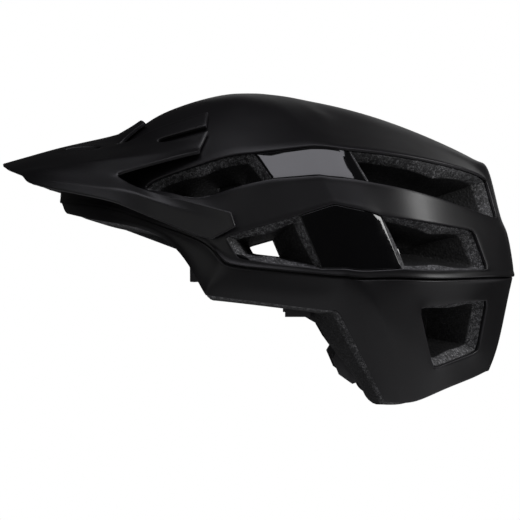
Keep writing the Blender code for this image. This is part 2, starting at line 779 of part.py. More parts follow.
def front_seed(angle, height):
    """A seed round the forehead at an angle from the front, at a height over the head's widest line."""
    a = math.radians(angle)
    return HEAD_FRAME @ Vector((-100 * math.cos(a), 75 * math.sin(a), height))


def pads(wall):
    seeds = []
    for angle in range(-54, 55, 9):
        low = 6 - 9 * (angle / 54) ** 2
        seeds.append([front_seed(angle, low + step) for step in (0, 3, 12, 21, 24)])
    wall_pad(wall, "brow_pad", seeds, 7.5, 1.6)
    for side in (LEFT, RIGHT):
        angles = (44, 46, 53, 60, 62)
        seeds = [[high_seed(x, angle, side) for angle in angles] for x in (-22, -19, 2, 23, 26)]
        wall_pad(wall, f"side_pad_{SIDE_NAMES[side]}", seeds, 6)
    across = (-18, -15, 0, 15, 18)
    seeds = [[HEAD_FRAME @ Vector((x, y, 84)) for y in across] for x in (2, 5, 22, 39, 56, 59)]
    wall_pad(wall, "crown_pad", seeds, 6)


# ================================================================ headband
BAND_FRAME = Matrix.Translation(BAND_PIVOT) @ Matrix.Rotation(BAND_TILT, 4, "Y")
BAND_AXIS = BAND_FRAME @ Matrix.Translation((BAND_CENTRE, 0, 0))
DIAL_FRAME = BAND_AXIS @ Matrix.Translation((BAND_RADIUS, 0, 0))
TONGUE_RADIUS = 88.6


def band_point(angle, out, height):
    """A point round the band, out from the arms' mid surface. The rear is 0 and the left is negative."""
    a = math.radians(angle)
    radius = BAND_RADIUS + out
    return BAND_AXIS @ Vector((radius * math.cos(a), radius * math.sin(a), height))


def band_section(angle, inner, outer, low, high):
    return [
        band_point(angle, inner, low),
        band_point(angle, outer, low),
        band_point(angle, outer, high),
        band_point(angle, inner, high),
    ]


def band_arm(side):
    """One arm of the headband: a strip from the temple that narrows to a toothed rack over the dial."""
    root, tip, back = 6.1, 4.35, 8.8
    stations = [(-BAND_FRONT_ANGLE, -4, 4), (-BAND_FRONT_ANGLE + 2, -6, 6)]
    stations += [(angle, -6, 6) for angle in range(-104, -24, 8)]
    stations += [(-24, -6, 6), (-20, root, back)]
    pitch = math.degrees(2 * math.pi / PINION_TEETH * PINION_RADIUS / BAND_RADIUS)
    for tooth in range(-7, 3):
        for offset, low in ((-0.36, root), (-0.16, tip), (0.16, tip), (0.36, root)):
            stations.append(((tooth + offset) * pitch, low, back))
    sections = []
    for angle, low, high in stations:
        if side == RIGHT:
            low, high = -high, -low
        sections.append(band_section(-side * angle, -0.8, 0.8, low, high))
    return loft(f"band_arm_{SIDE_NAMES[side]}", sections)


def cradle():
    """The yoke round the back of the head: two low lobes, and the tongue that rides on the height rail."""
    half = (
        (-74, -20, 2), (-66, -27, 5), (-57, -28, 6), (-48, -18, 7), (-38, -11, 7.5), (-26, -10, 8),
        (-14, -13, 11),
        (-6, -15, 14),
    )
    shape = half + tuple((-angle, low, high) for angle, low, high in reversed(half))
    obj = loft("cradle", [band_section(angle, -4.4, -2.4, low, high) for angle, low, high in shape])
    tongue = []
    for angle in range(-23, 0, 3):
        a = math.radians(angle)
        direction = Vector((math.cos(a), 0, math.sin(a)))
        near, far = (BAND_PIVOT + direction * (TONGUE_RADIUS + step) for step in (-1, 1))
        corners = ((near, -7), (far, -7), (far, 7), (near, 7))
        tongue.append([place + Vector((0, y, 0)) for place, y in corners])
    join(obj, loft("tongue", tongue))
    return cut(obj, lathe("journal_hole", DIAL_FRAME, ((-6, 2.1), (0, 2.1)), 16))


def cradle_pads():
    found = []
    for side in (LEFT, RIGHT):
        shape = ((50, -20, 1, 1.5), (53, -24, 4, 3), (60, -26, 5, 3.5), (67, -24, 4, 3), (70, -20, 1, 1.5))
        sections = [band_section(side * a, -4.8 - depth, -4.8, low, high) for a, low, high, depth in shape]
        found.append(loft(f"cradle_pad_{SIDE_NAMES[side]}", sections))
    return found


def height_rail(wall):
    """The rail on the rear wall of the liner; its inner face is an arc about the temple pivots."""
    outer, inner = [], []
    for angle in (-12, -8, -4, 0, 4):
        a = math.radians(angle)
        direction = Vector((math.cos(a), 0, math.sin(a)))
        near = BAND_PIVOT + direction * (TONGUE_RADIUS + 1.6)
        inner.append([near + Vector((0, y, 0)) for y in (-11, 0, 11)])
        outer.append([wall.at(BAND_PIVOT + direction * 120 + Vector((0, y, 0)), 0.5) for y in (-11, 0, 11)])
    return slab("height_rail", outer, inner)


def temple_clips(wall):
    """Guides on the side walls through which the arms slide; the band swings about them."""
    for side in (LEFT, RIGHT):
        frame = side_frame(BAND_PIVOT, side)
        seeds = [BAND_PIVOT + Vector((x, side * 80, z)) for x in (-8, 0, 8) for z in (-9, 0, 9)]
        reach = min(abs(wall.at(seed, 0.5).y) for seed in seeds)
        clip = block(f"temple_clip_{SIDE_NAMES[side]}", frame, (69, -8, -9.5), (reach, 8, 9.5))
        slot = [band_section(side * a, -1.9, 1.9, -7.4, 7.4) for a in range(86, 121, 5)]
        cut(clip, loft("arm_slot", slot))


def dial_housing():
    """The case behind the cradle: the racks pass through its channel and the pinion turns in it."""
    obj = loft("dial_housing", [band_section(a, -2.1, 5.0, -12.4, 12.4) for a in range(-12, 13, 4)])
    cut(obj, loft("rack_channel", [band_section(a, -1.3, 1.3, -9.4, 9.4) for a in range(-18, 19, 4)]))
    return cut(obj, lathe("shaft_bore", DIAL_FRAME, ((-6, 2.1), (8, 2.1)), 16))


def dial_ring(height, radii):
    """Points round the dial's axis with the given radii."""
    step = 2 * math.pi / len(radii)
    found = []
    for k, radius in enumerate(radii):
        angle = k * step
        found.append(DIAL_FRAME @ Vector((height, radius * math.sin(angle), radius * math.cos(angle))))
    return found


def dial_pinion():
    """Gear, journal and hollow shaft in one."""
    outline = (3.9, 3.9, 3.95, 5.6, 5.7, 5.6, 3.95, 3.9)
    gear = outline * PINION_TEETH
    count = len(gear)
    shaft, bore = [1.8] * count, [0.9] * count
    sections = [
        dial_ring(-4.0, shaft), dial_ring(-0.9, shaft), dial_ring(-0.9, gear), dial_ring(0.9, gear),
        dial_ring(0.9, shaft), dial_ring(11.0, shaft), dial_ring(11.0, bore), dial_ring(6.6, bore),
    ]
    return loft("dial_pinion", sections)


def dial_knob():
    grip = (11, 11, 11, 10.3) * 12
    count = len(grip)
    levels = (
        (6.8, [2.0] * count), (6.8, [10.0] * count), (7.8, grip), (13.1, grip), (14.1, [9.5] * count),
        (14.1, [3.6] * count), (11.6, [3.6] * count), (11.6, [2.0] * count),
    )
    return loft("dial_knob", [dial_ring(height, radii) for height, radii in levels], True)


def dial_screw():
    profile = ((7.0, 0.65), (11.8, 0.65), (11.8, 3.0), (13.2, 3.0), (13.6, 2.4))
    return lathe("dial_screw", DIAL_FRAME, profile, 16)


def detent_spring():
    """A wavy washer between the housing and the knob."""
    sections = []
    for k in range(24):
        a = 2 * math.pi * k / 24
        middle = 5.9 + 0.3 * math.cos(3 * a)
        corners = ((middle - 0.2, 4), (middle - 0.2, 8), (middle + 0.2, 8), (middle + 0.2, 4))
        sections.append([DIAL_FRAME @ Vector((h, r * math.cos(a), r * math.sin(a))) for h, r in corners])
    return loft("detent_spring", sections, True)


# ================================================================ straps, stowed up inside the helmet
WEB_WIDTH, WEB_THICKNESS = 14, 1.2
WEB_DEPTH = 3.2
ANCHOR_FRONT = (-47, -14)
ANCHOR_REAR = (47, -18)
DIVIDER_STATION = 10
BUCKLE_FRAME = HEAD_FRAME @ Matrix.Translation((-36, 0, 64.5))


def wall_axes(seed):
    """Unit vectors at a seed of the cavity wall: into the head, level to the rear, and up along the wall."""
    step = 3.0
    level = on_cavity(seed + Vector((step, 0, 0))) - on_cavity(seed - Vector((step, 0, 0)))
    rise = on_cavity(seed + Vector((0, 0, step))) - on_cavity(seed - Vector((0, 0, step)))
    inward = level.cross(rise).normalized()
    if inward.y * seed.y > 0:
        inward = -inward
    level.normalize()
    up = inward.cross(level)
    return inward, level, up if up.z > 0 else -up


def frame_of(place, axes):
    frame = Matrix(axes).transposed().to_4x4()
    frame.translation = place
    return frame


def strap_anchor(wall, liner, seed, name):
    """A plug in a pocket of the liner, with a slot for the webbing; returns the first points of the web."""
    frame = frame_of(wall.at(seed, 0), wall_axes(seed))
    cut(liner, block("anchor_pocket", frame, (-5.4, -11.4, -5.4), (8, 11.4, 5.4)))
    plug = block(name, frame, (-5, -11, -5), (0.8, 11, 5))
    cut(plug, block("web_slot", frame, (-4, -WEB_WIDTH / 2 - 0.4, -1), (3, WEB_WIDTH / 2 + 0.4, 1)))
    path = [frame @ Vector(p) for p in ((-3.4, 0, 0), (0.4, 0, 0), (2.3, 0, 0.7), (3.2, 0, 3.2))]
    return path, [frame.col[1].xyz] * len(path)


def lay_web(wall, seeds, path, across):
    """Extends a web over the liner wall through the seeds, flat on the wall."""
    places = [wall.at(seed, WEB_DEPTH) for seed in seeds]
    last = path[-1]
    for i, place in enumerate(places):
        after = places[min(i + 1, len(places) - 1)]
        direction = wall_axes(seeds[i])[0].cross(after - last).normalized()
        if direction.dot(across[-1]) < 0:
            direction = -direction
        path.append(place)
        across.append(direction)
        last = place


def strap_side(wall, liner, side):
    """Anchors, divider and both webs of one side; the front web runs on over the crown to the buckle."""
    name = SIDE_NAMES[side]
    path, across = strap_anchor(wall, liner, low_seed(*ANCHOR_FRONT, side), f"strap_anchor_front_{name}")
    seeds = [low_seed(-47, -6, side)] + [high_seed(-47 + k, 8 * k, side) for k in range(9)]
    lay_web(wall, seeds, path, across)
    station = DIVIDER_STATION
    path[station] = (path[station - 1] + path[station + 1]) / 2
    across[station - 1] = across[station + 1] = across[station]
    to_buckle = ((28, 3.2), (21, 0.6), (16.5, 0), (12.2, 0))
    path += [BUCKLE_FRAME @ Vector((0, side * y, z)) for y, z in to_buckle]
    buckle_axis = BUCKLE_FRAME.col[0].xyz
    across += [buckle_axis if buckle_axis.dot(across[-1]) > 0 else -buckle_axis] * 4
    ribbon(f"web_front_{name}", path, across, WEB_WIDTH, WEB_THICKNESS)

    up = (path[station + 1] - path[station - 1]).normalized()
    level = across[station] - up * across[station].dot(up)
    level = level.normalized() * (1 if level.x > 0 else -1)
    inward = level.cross(up)
    if inward.y * side > 0:
        inward = -inward
    frame = frame_of(path[station], (inward, level, up))
    divider(frame, name)
    divider_lever(frame, name)

    path, across = strap_anchor(wall, liner, low_seed(*ANCHOR_REAR, side), f"strap_anchor_rear_{name}")
    seeds = [low_seed(47, -9, side), high_seed(46, 1, side)]
    seeds += [high_seed(x, angle, side) for x, angle in ((38, 12), (24, 20), (8, 27), (-8, 32))]
    lay_web(wall, seeds, path, across)
    path += [frame @ Vector((0, y, 0)) for y in (20, 15, 9.2)]
    across += [up if up.dot(across[-1]) > 0 else -up] * 3
    ribbon(f"web_rear_{name}", path, across, WEB_WIDTH, WEB_THICKNESS)


def divider(frame, name):
    """The body that holds the front and the rear web together, with lugs for its lever."""
    body = block(f"divider_{name}", frame, (-1.8, -10.5, -9), (3.0, 13.5, 9))
    cut(body, block("front_channel", frame, (-1.0, -7.5, -12), (1.0, 7.5, 12)))
    cut(body, block("rear_slot", frame, (-1.0, 8.7, -7.5), (1.0, 20, 7.5)))
    for y in (-10.4, 8.6):
        lug = block("lug", frame, (2.5, y, -8.8), (6.0, y + 1.8, -5.2))
        cut(lug, block("axle_hole", frame, (3.4, y - 1, -7.9), (5.4, y + 3, -6.0)))
        join(body, lug)


def divider_lever(frame, name):
    """The cam lever that clamps the webs."""
    lever = block(f"divider_lever_{name}", frame, (3.6, -8.2, -7), (5.2, 8.2, 7))
    axle_frame = frame @ Matrix.Translation((4.4, 0, -7)) @ Matrix.Rotation(math.pi / 2, 4, "Z")
    join(lever, lathe("axle", axle_frame, ((-10.2, 0.8), (10.2, 0.8)), 12))
    joint_empty(f"lever_{name}_axle", axle_frame.translation, [lever])


def buckle():
    frame = BUCKLE_FRAME
    socket = block("buckle_socket", frame, (-11, -16, -3.5), (11, 8, 3.5))
    cut(socket, block("tongue_cavity", frame, (-8.8, -8, -2.2), (8.8, 12, 2.2)))
    cut(socket, block("web_slot", frame, (-7.5, -20, -1), (7.5, -11.5, 1)))
    cut(socket, block("side_windows", frame, (-14, -3, -1.5), (14, 4, 1.5)))
    tongue = block("buckle_tongue", frame, (-11, 8.5, -3.5), (11, 16, 3.5))
    join(tongue, block("prongs", frame, (-8.2, -6, -1.7), (8.2, 9.5, 1.7)))
    cut(tongue, block("prong_gap", frame, (-3.5, -9, -4), (3.5, 5, 4)))
    cut(tongue, block("web_slot", frame, (-7.5, 11.5, -1), (7.5, 20, 1)))
    joint_empty("tongue_slide", frame.translation, [tongue])


def headband(wall):
    """The pieces that swing about the temple clips, and the ones that turn or slide on them."""
    arms = [band_arm(side) for side in (LEFT, RIGHT)]
    height_rail(wall)
    temple_clips(wall)
    dial_axle = joint_empty("dial_axle", DIAL_FRAME.translation, [dial_pinion(), dial_knob(), dial_screw()])
    arms_axis = joint_empty("arms_axis", BAND_AXIS.translation, arms)
    swinging = [cradle(), *cradle_pads(), dial_housing(), detent_spring(), dial_axle, arms_axis]
    joint_empty("band_axle", BAND_PIVOT, swinging)


def main():
    remove_everything()
    surface = OuterSurface(LEVEL)
    shell = top_shell(surface)
    lower_shell(surface)
    inserts(surface)
    liner = eps_liner(surface)
    wall = LinerWall(liner)
    peak = visor(surface)
    visor_pivots(peak, shell, liner)
    joint_empty("visor_axle", VISOR_PIVOT, [peak])
    pads(wall)
    for side in (LEFT, RIGHT):
        strap_side(wall, liner, side)
    headband(wall)
    buckle()
    for obj in bpy.data.objects:
        if obj.type == "MESH":
            paint(obj)


main()
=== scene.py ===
"""Looks of the trail cycling helmet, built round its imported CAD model.

Lengths are in millimetres and turn into metres when a mesh is made, except in the studio. Front is -X, the
wearer's left is -Y, and up is +Z.
"""

import json
import math

import bmesh
import bpy
import numpy as np
from mathutils import Matrix, Vector
from mathutils.bvhtree import BVHTree


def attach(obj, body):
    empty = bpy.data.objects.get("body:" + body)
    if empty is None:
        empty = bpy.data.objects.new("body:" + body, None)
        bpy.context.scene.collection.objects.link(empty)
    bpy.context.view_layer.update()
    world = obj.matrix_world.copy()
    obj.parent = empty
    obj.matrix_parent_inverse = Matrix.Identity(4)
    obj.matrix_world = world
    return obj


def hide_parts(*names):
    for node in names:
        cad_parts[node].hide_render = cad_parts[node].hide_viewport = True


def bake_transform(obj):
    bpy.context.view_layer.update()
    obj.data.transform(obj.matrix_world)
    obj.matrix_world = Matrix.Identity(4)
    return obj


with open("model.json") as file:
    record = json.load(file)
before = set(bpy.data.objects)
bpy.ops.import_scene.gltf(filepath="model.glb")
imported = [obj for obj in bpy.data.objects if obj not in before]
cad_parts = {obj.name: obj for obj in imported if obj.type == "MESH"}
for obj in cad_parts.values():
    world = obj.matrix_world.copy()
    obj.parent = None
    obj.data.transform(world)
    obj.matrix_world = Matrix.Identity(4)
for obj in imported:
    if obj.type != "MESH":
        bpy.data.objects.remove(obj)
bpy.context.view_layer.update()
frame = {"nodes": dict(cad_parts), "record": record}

MM = 0.001
LEFT, RIGHT = -1, 1
SIDE_NAMES = {LEFT: "left", RIGHT: "right"}

# ---- control net of the outer surface
# The crest lies on the centre plane. Every other row runs from the centre of the front, round one side, to
# the centre of the rear, with one point per column: (x, distance from the centre plane, z).
LEVEL = 3
LAST = 14
CREST = (
    (-114, 0, 80), (-100, 0, 86), (-87, 0, 95.5), (-69, 0, 102.7), (-54, 0, 107), (-38, 0, 109.8),
    (-22, 0, 111.2), (-5, 0, 109.7), (10, 0, 107), (30, 0, 103), (59, 0, 94.6), (92, 0, 82), (117, 0, 70),
)
SPINE = (
    (-127, 0, 73), (-116, 20, 74), (-104, 32, 79), (-88, 38, 87), (-68, 41, 95), (-51, 42, 100),
    (-31, 42, 103), (-4, 42, 99), (12, 40, 96), (26, 38, 93), (40, 36, 90), (68, 32, 84), (96, 25, 75),
    (118, 15, 67), (127, 0, 65),
)
VENT_TOP = (
    (-139, 0, 65), (-125, 30, 62), (-92, 68, 48), (-84, 70, 53), (-60, 76, 61), (-40, 80, 67),
    (-24, 83, 69), (11, 86, 73), (19, 86, 73), (28, 86, 72), (37, 85, 71), (73, 75, 67), (114, 46, 59),
    (128, 20, 53), (132, 0, 59),
)
VENT_BOTTOM = (
    (-147, 0, 55), (-128, 38, 52), (-91, 70, 46), (-72, 82, 43), (-57, 88, 40), (-35, 95, 47),
    (-12, 98, 52), (17, 100, 54), (25, 100, 53), (37, 99, 52), (49, 97, 50), (80, 86, 44), (111, 57, 35),
    (134, 24, 29), (139, 0, 28),
)
SIDE_TOP = (
    (-152, 0, 48), (-129, 44, 46), (-106, 65, 42), (-79, 84, 36), (-55, 96, 29), (-40, 102, 16),
    (4, 105, 29), (26, 105, 36), (36, 105, 34), (46, 104, 32), (56, 101, 29), (85, 89, 25), (116, 58, 20),
    (137, 26, 20), (143, 0, 19),
)
SIDE_BOTTOM = (
    (-153, 0, 42), (-129, 47, 40), (-106, 67, 36), (-79, 86, 27), (-55, 97, 18), (-32, 103, 2),
    (18, 108, -4), (33, 108, -4), (41, 108, -5), (52, 106, -5), (69, 102, -4), (94, 90, -5), (125, 56, -4),
    (141, 27, -4), (147, 0, -3),
)
SEAM = (
    (-152, 0, 39), (-129, 48, 36), (-106, 68, 31), (-79, 86, 21), (-54, 97, 12), (-39, 103, -2),
    (17, 108, -8), (33, 108, -9), (41, 108, -10), (49, 106, -10), (70, 101, -10), (93, 90, -11),
    (125, 57, -10), (141, 27, -10), (147, 0, -9),
)
LOWER_UP = (
    (-151, 0, 37), (-129, 48, 34), (-106, 68, 29), (-77, 86, 19), (-53, 97, 4), (-41, 102, -8),
    (15, 106, -15), (31, 106, -17), (42, 106, -23), (53, 104, -29), (67, 98, -29), (81, 92, -29),
    (125, 52, -25), (138, 25, -26), (143, 0, -27),
)
LOWER_DOWN = (
    (-150, 0, 34), (-128, 48, 30), (-106, 68, 26), (-77, 86, 16), (-56, 96, -5), (-47, 100, -15),
    (12, 104, -23), (30, 103, -25), (46, 96, -52), (63, 92, -56), (76, 86, -61), (90, 78, -66),
    (120, 45, -57), (133, 22, -55), (137, 0, -54),
)
RIM = (
    (-148, 0, 32), (-127, 48, 27), (-106, 67, 23), (-76, 85, 12), (-58, 95, -14), (-52, 98, -21),
    (10, 101, -29), (29, 100, -32), (58, 80, -87), (68, 76, -89), (80, 70, -88), (98, 60, -81),
    (118, 36, -75), (127, 18, -72), (131, 0, -72),
)
RINGS = (SPINE, VENT_TOP, VENT_BOTTOM, SIDE_TOP, SIDE_BOTTOM, SEAM, LOWER_UP, LOWER_DOWN, RIM)
SEAM_ROW = 5

# Cells that aren't shell, by row and by first and last column.
OPENINGS = {
    "vent_front": (0, 0, 0),
    "vent_upper_front": (1, 2, 5),
    "insert_upper": (1, 6, 9),
    "vent_upper_rear": (1, 10, 12),
    "vent_side_front": (3, 5, 5),
    "insert_lower": (3, 6, 9),
    "vent_side_rear": (3, 10, 11),
    "vent_low_rear": (6, 11, 11),
}
# How far each vent narrows on its way through the foam, as a share of its width.
NARROWING = {
    "vent_front": 0.30,
    "vent_upper_front": 0.35,
    "vent_upper_rear": 0.35,
    "vent_side_front": 0.55,
    "vent_side_rear": 0.35,
    "vent_low_rear": 0.30,
}
# Corners of the openings and of the rim that stay sharp: (row, column).
CORNERS = (
    (0, 1), (1, 1), (1, 2), (2, 2), (1, 13), (2, 13), (3, 5), (4, 5), (3, 12), (4, 12),
    (6, 11), (7, 11), (6, 12), (7, 12), (8, 7), (8, 8), (8, 5),
)
CORNER_SHARPNESS = 0.8
FITTING_STEPS = 2
# Facet lines: (first row, first column, last row, last column, sharpness). Row -1 is the crest.
FACETS = (
    (-1, 7, 5, 7, 0.6),
    (0, 8, 0, 13, 0.5),
    (5, 9, 8, 9, 0.8),
    (5, 5, 8, 5, 0.4),
)

# ---- layers, measured inwards from the outer surface
SHELL_THICKNESS = 2.0
SHELL_EDGE = 0.7
SEAM_GAP = 0.9
INSERT_OUTER, INSERT_INNER = 0.7, 2.0
INSERT_GAP = 0.35
INSERT_EDGE = 0.5
# The upper panels roll in at their borders and fold in towards the rear. The lower ones slope in there.
UPPER_ROLL_REACH, UPPER_ROLL_DEPTH = 4.5, 0.45
UPPER_FOLD_REACH, UPPER_FOLD_DEPTH = 16, 1.6
LOWER_SLOPE_REACH, LOWER_SLOPE_DEPTH = 6.5, 1.0
LINER_DEPTH = 2.4
# Rings of points on the way through the foam, as shares of it: in a vent, and round the rolled lower edge.
VENT_STEPS = (0.0, 0.05, 0.13, 0.55, 0.92)
RIM_STEPS = (0.1, 0.3, 0.5, 0.7, 0.9)
ROLL_DROP = 6.0
# How far back the inner end of a side vent lies. The rear one is also narrower, so no light comes through.
VENT_LEAD = {"vent_side_front": -8.0, "vent_side_rear": 8.0}
REAR_VENT_NARROWING = 0.78
BEVEL_REACH, BEVEL_DEPTH = 4.6, 5.0
LIP_REACH, LIP_HEIGHT = 3.4, 0.9

# ---- head
HEAD_CENTRE = Vector((-4, 0, 0))
HEAD_TILT = math.radians(8)
CAVITY_LENGTH, CAVITY_WIDTH, CAVITY_HEIGHT = 110, 82, 84
DIAL_RECESS_DEPTH = 17
LOBE_LEAD = 13
CHANNEL_DEPTH = 5.0

# ---- headband
BAND_PIVOT = Vector((4, 0, -25))
BAND_TILT = math.radians(30)
BAND_CENTRE = 17
BAND_RADIUS = 75.0

# ---- visor
VISOR_ROWS = (
    ((-190, 0, 65), (-168, 0, 71.5), (-150, 0, 77), (-127, 0, 83.5), (-115, 0, 87), (-98, 0, 91.5)),
    ((-188, 14, 64), (-166, 22, 69.5), (-148, 27, 74), (-124, 29, 76), (-113, 31, 77), (-92, 30, 87)),
    ((-186, 23, 63), (-165, 30, 68), (-146, 34, 72.5), (-120, 39, 73), (-111, 42, 75), (-90, 45, 84),
     (-74, 49, 89), (-53, 52, 95)),
    ((-184, 31, 61.5), (-164, 38, 66.5), (-145, 42, 70), (-120, 47, 70), (-103, 50, 74), (-86, 54, 78),
     (-71, 59, 82), (-54, 62, 86)),
    ((-181, 38, 60), (-162, 45, 64), (-145, 50, 66.5), (-121, 55, 67), (-106, 58, 71), (-85, 58, 76),
     (-69, 63, 78), (-53, 66, 83)),
    ((-176, 45, 58), (-161, 52, 61), (-144, 58, 62), (-121, 63, 65), (-110, 66, 66), (-91, 70, 68),
     (-73, 72, 70), (-58, 74, 72)),
    ((-173, 51, 57), (-160, 58, 60), (-144, 63, 60), (-122, 69, 58), (-111, 74, 56), (-92, 76, 61),
     (-75, 77, 66), (-58, 77, 70)),
    ((-171, 55, 54), (-160, 62, 55), (-143, 68, 55), (-121, 74, 53), (-109, 76, 54), (-99, 81, 48),
     (-87, 87, 44), (-63, 98, 38), (-38, 107, 31)),
    ((-168, 60, 52), (-159, 66, 52), (-142, 73, 50), (-122, 80, 47), (-109, 84, 46), (-95, 88, 43),
     (-82, 93, 37), (-60, 101, 30), (-35, 109, 22)),
    ((-165, 63, 51), (-158, 69, 48), (-142, 76, 45), (-123, 83, 41), (-110, 87, 38), (-95, 91, 31),
     (-78, 96, 24), (-62, 103, 17), (-50, 106, 14)),
)
# Slots of the visor: row of cells, first and last station.
VISOR_SLOTS = ((1, 2, 2), (1, 4, 4), (3, 5, 6), (6, 4, 6))
VISOR_FOLDS = ((5, 2, 7, 0.8), (8, 1, 7, 0.8), (8, 7, 8, 0.8))
VISOR_THICKNESS = 2.4
VISOR_EDGE = 0.8
VISOR_CLEARANCE = 1.4
VISOR_CORNERS = ((0, 5), (1, 5), (2, 7), (3, 7), (4, 7), (6, 7), (7, 8), (8, 8), (9, 8))

# ---- straps
WEB_WIDTH, WEB_THICKNESS = 14, 1.2
WEB_DEPTH = 3.2
ANCHOR_FRONT = (-47, -14)
ANCHOR_REAR = (47, -18)
DIVIDER_STATION = 10
HEAD_FRAME = Matrix.Translation(HEAD_CENTRE) @ Matrix.Rotation(HEAD_TILT, 4, "Y")
HEAD_FRAME_INVERSE = HEAD_FRAME.inverted()
BUCKLE_FRAME = HEAD_FRAME @ Matrix.Translation((-36, 0, 64.5))
BAND_FRAME = Matrix.Translation(BAND_PIVOT) @ Matrix.Rotation(BAND_TILT, 4, "Y")
BAND_AXIS = BAND_FRAME @ Matrix.Translation((BAND_CENTRE, 0, 0))
DIAL_FRAME = BAND_AXIS @ Matrix.Translation((BAND_RADIUS, 0, 0))

BODY_OF = {node: body for body, nodes in frame["record"]["behaviour"]["bodies"].items() for node in nodes}
SLOT_OF = {part["node"]: part["material_slot"] for part in frame["record"]["subparts"]}


# ==== small tools
def linked(name, data):
    """A new object in the scene."""
    obj = bpy.data.objects.new(name, data)
    bpy.context.scene.collection.objects.link(obj)
    return obj


def mesh_object(name, points, faces, sharp_angle=30):
    """A smooth-shaded mesh object from points in millimetres, with its normals turned outwards."""
    mesh = bpy.data.meshes.new(name)
    mesh.from_pydata((np.array([tuple(p) for p in points]) * MM).tolist(), [], faces)
    mesh.validate()
    obj = linked(name, mesh)
    corners = np.empty(len(mesh.vertices) * 3)
    mesh.vertices.foreach_get("co", corners)
    mesh.calc_loop_triangles()
    triangles = np.empty(len(mesh.loop_triangles) * 3, dtype=int)
    mesh.loop_triangles.foreach_get("vertices", triangles)
    if np.linalg.det(corners.reshape(-1, 3)[triangles.reshape(-1, 3)]).sum() < 0:
        mesh.flip_normals()
    shade(mesh, sharp_angle)
    return obj


def shade(mesh, sharp_angle=30):
    """Smooth shading, with edges sharper than the angle kept sharp."""
    mesh.shade_smooth()
    mesh.set_sharp_from_angle(angle=math.radians(sharp_angle))


def evaluated_copy(obj):
    """The object's mesh with its modifiers applied."""
    bpy.context.view_layer.update()
    graph = bpy.context.evaluated_depsgraph_get()
    return bpy.data.meshes.new_from_object(obj.evaluated_get(graph))


def apply_modifiers(obj):
    mesh = evaluated_copy(obj)
    obj.modifiers.clear()
    obj.data = mesh


def loft(name, sections, closed, sharp_angle):
    """A tube through closed sections with equal numbers of points. It is capped, or its ends are joined."""
    count = len(sections[0])
    points = [p for section in sections for p in section]
    faces = []
    spans = len(sections) if closed else len(sections) - 1
    for i in range(spans):
        here, after = i * count, (i + 1) % len(sections) * count
        for k in range(count):
            n = (k + 1) % count
            faces.append((here + k, here + n, after + n, after + k))
    if not closed:
        faces.append(tuple(range(count))[::-1])
        faces.append(tuple(range(len(points) - count, len(points))))
    return mesh_object(name, points, faces, sharp_angle)


def node_tree_of(node):
    """A search tree of a CAD node, in millimetres."""
    mesh = frame["nodes"][node].data
    points = [tuple(c / MM for c in v.co) for v in mesh.vertices]
    return BVHTree.FromPolygons(points, [tuple(p.vertices) for p in mesh.polygons])


def place(obj, node, material):
    """Gives a piece its material, and lets it stand for a CAD node and move with that node's body."""
    obj.data.materials.clear()
    obj.data.materials.append(material)
    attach(obj, BODY_OF[node])
    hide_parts(node)
    return obj


# ==== materials
class Surface:
    """A material with a Principled BSDF, and short ways to add nodes to it."""

    def __init__(self, name, colour, roughness, **sockets):
        self.material = bpy.data.materials.new(name)
        self.material.use_nodes = True
        self.tree = self.material.node_tree
        self.shader = self.tree.nodes["Principled BSDF"]
        self.shader.inputs["Base Color"].default_value = (*colour, 1)
        self.shader.inputs["Roughness"].default_value = roughness
        for socket, value in sockets.items():
            self.shader.inputs[socket.replace("_", " ")].default_value = value
        self.place = self.tree.nodes.new("ShaderNodeTexCoord").outputs["Object"]

    def add(self, kind, links=None, **settings):
        node = self.tree.nodes.new(kind)
        for key, value in settings.items():
            if key in node.inputs:
                node.inputs[key].default_value = value
            else:
                setattr(node, key, value)
        for socket, source in (links or {}).items():
            self.tree.links.new(source, node.inputs[socket])
        return node

    def noise(self, scale, detail=3.0, roughness=0.5):
        settings = {"Scale": scale, "Detail": detail, "Roughness": roughness}
        return self.add("ShaderNodeTexNoise", {"Vector": self.place}, **settings).outputs["Fac"]

    def ramp(self, source, low, high, from_low=0.3, from_high=0.7):
        """A number mapped from one range to another."""
        settings = {"From Min": from_low, "From Max": from_high, "To Min": low, "To Max": high}
        return self.add("ShaderNodeMapRange", {"Value": source}, **settings).outputs["Result"]

    def math(self, operation, *sources):
        return self.add("ShaderNodeMath", dict(enumerate(sources)), operation=operation).outputs[0]

    def blend(self, factor, first, second):
        node = self.add("ShaderNodeMix", data_type="RGBA")
        node.inputs[6].default_value = (*first, 1)
        node.inputs[7].default_value = (*second, 1)
        self.tree.links.new(factor, node.inputs[0])
        return node.outputs[2]

    def bump(self, height, strength, distance, normal=None):
        node = self.add("ShaderNodeBump", {"Height": height}, Strength=strength, Distance=distance)
        if normal is not None:
            self.tree.links.new(normal, node.inputs["Normal"])
        return node.outputs["Normal"]

    def connect(self, **sources):
        for socket, source in sources.items():
            self.tree.links.new(source, self.shader.inputs[socket.replace("_", " ")])
        return self.material


def painted_edge_highlight(surface, colour, highlight_colour):
    """The colour, painted lighter along sharp outer edges as a painted highlight."""
    pointiness = surface.add("ShaderNodeNewGeometry").outputs["Pointiness"]
    # Mask of the painted highlight: the sharp outer edges, found by their pointiness.
    edge = surface.ramp(pointiness, 0, 1, 0.515, 0.58)
    return surface.blend(edge, colour, highlight_colour)


def matte_shell(name, colour):
    """Soft-touch paint: fine grain, faint cloudy gloss, and a painted highlight along sharp edges."""
    s = Surface(name, colour, 0.45)
    # Colour of the painted highlight along sharp edges, five times as light as the paint.
    highlight_tint = tuple(c * 5.0 for c in colour)
    return s.connect(
        Normal=s.bump(s.noise(1900, 2.0), 0.10, 0.0001),
        Roughness=s.ramp(s.noise(22, 4.0, 0.6), 0.34, 0.42),
        Base_Color=painted_edge_highlight(s, colour, highlight_tint),
    )


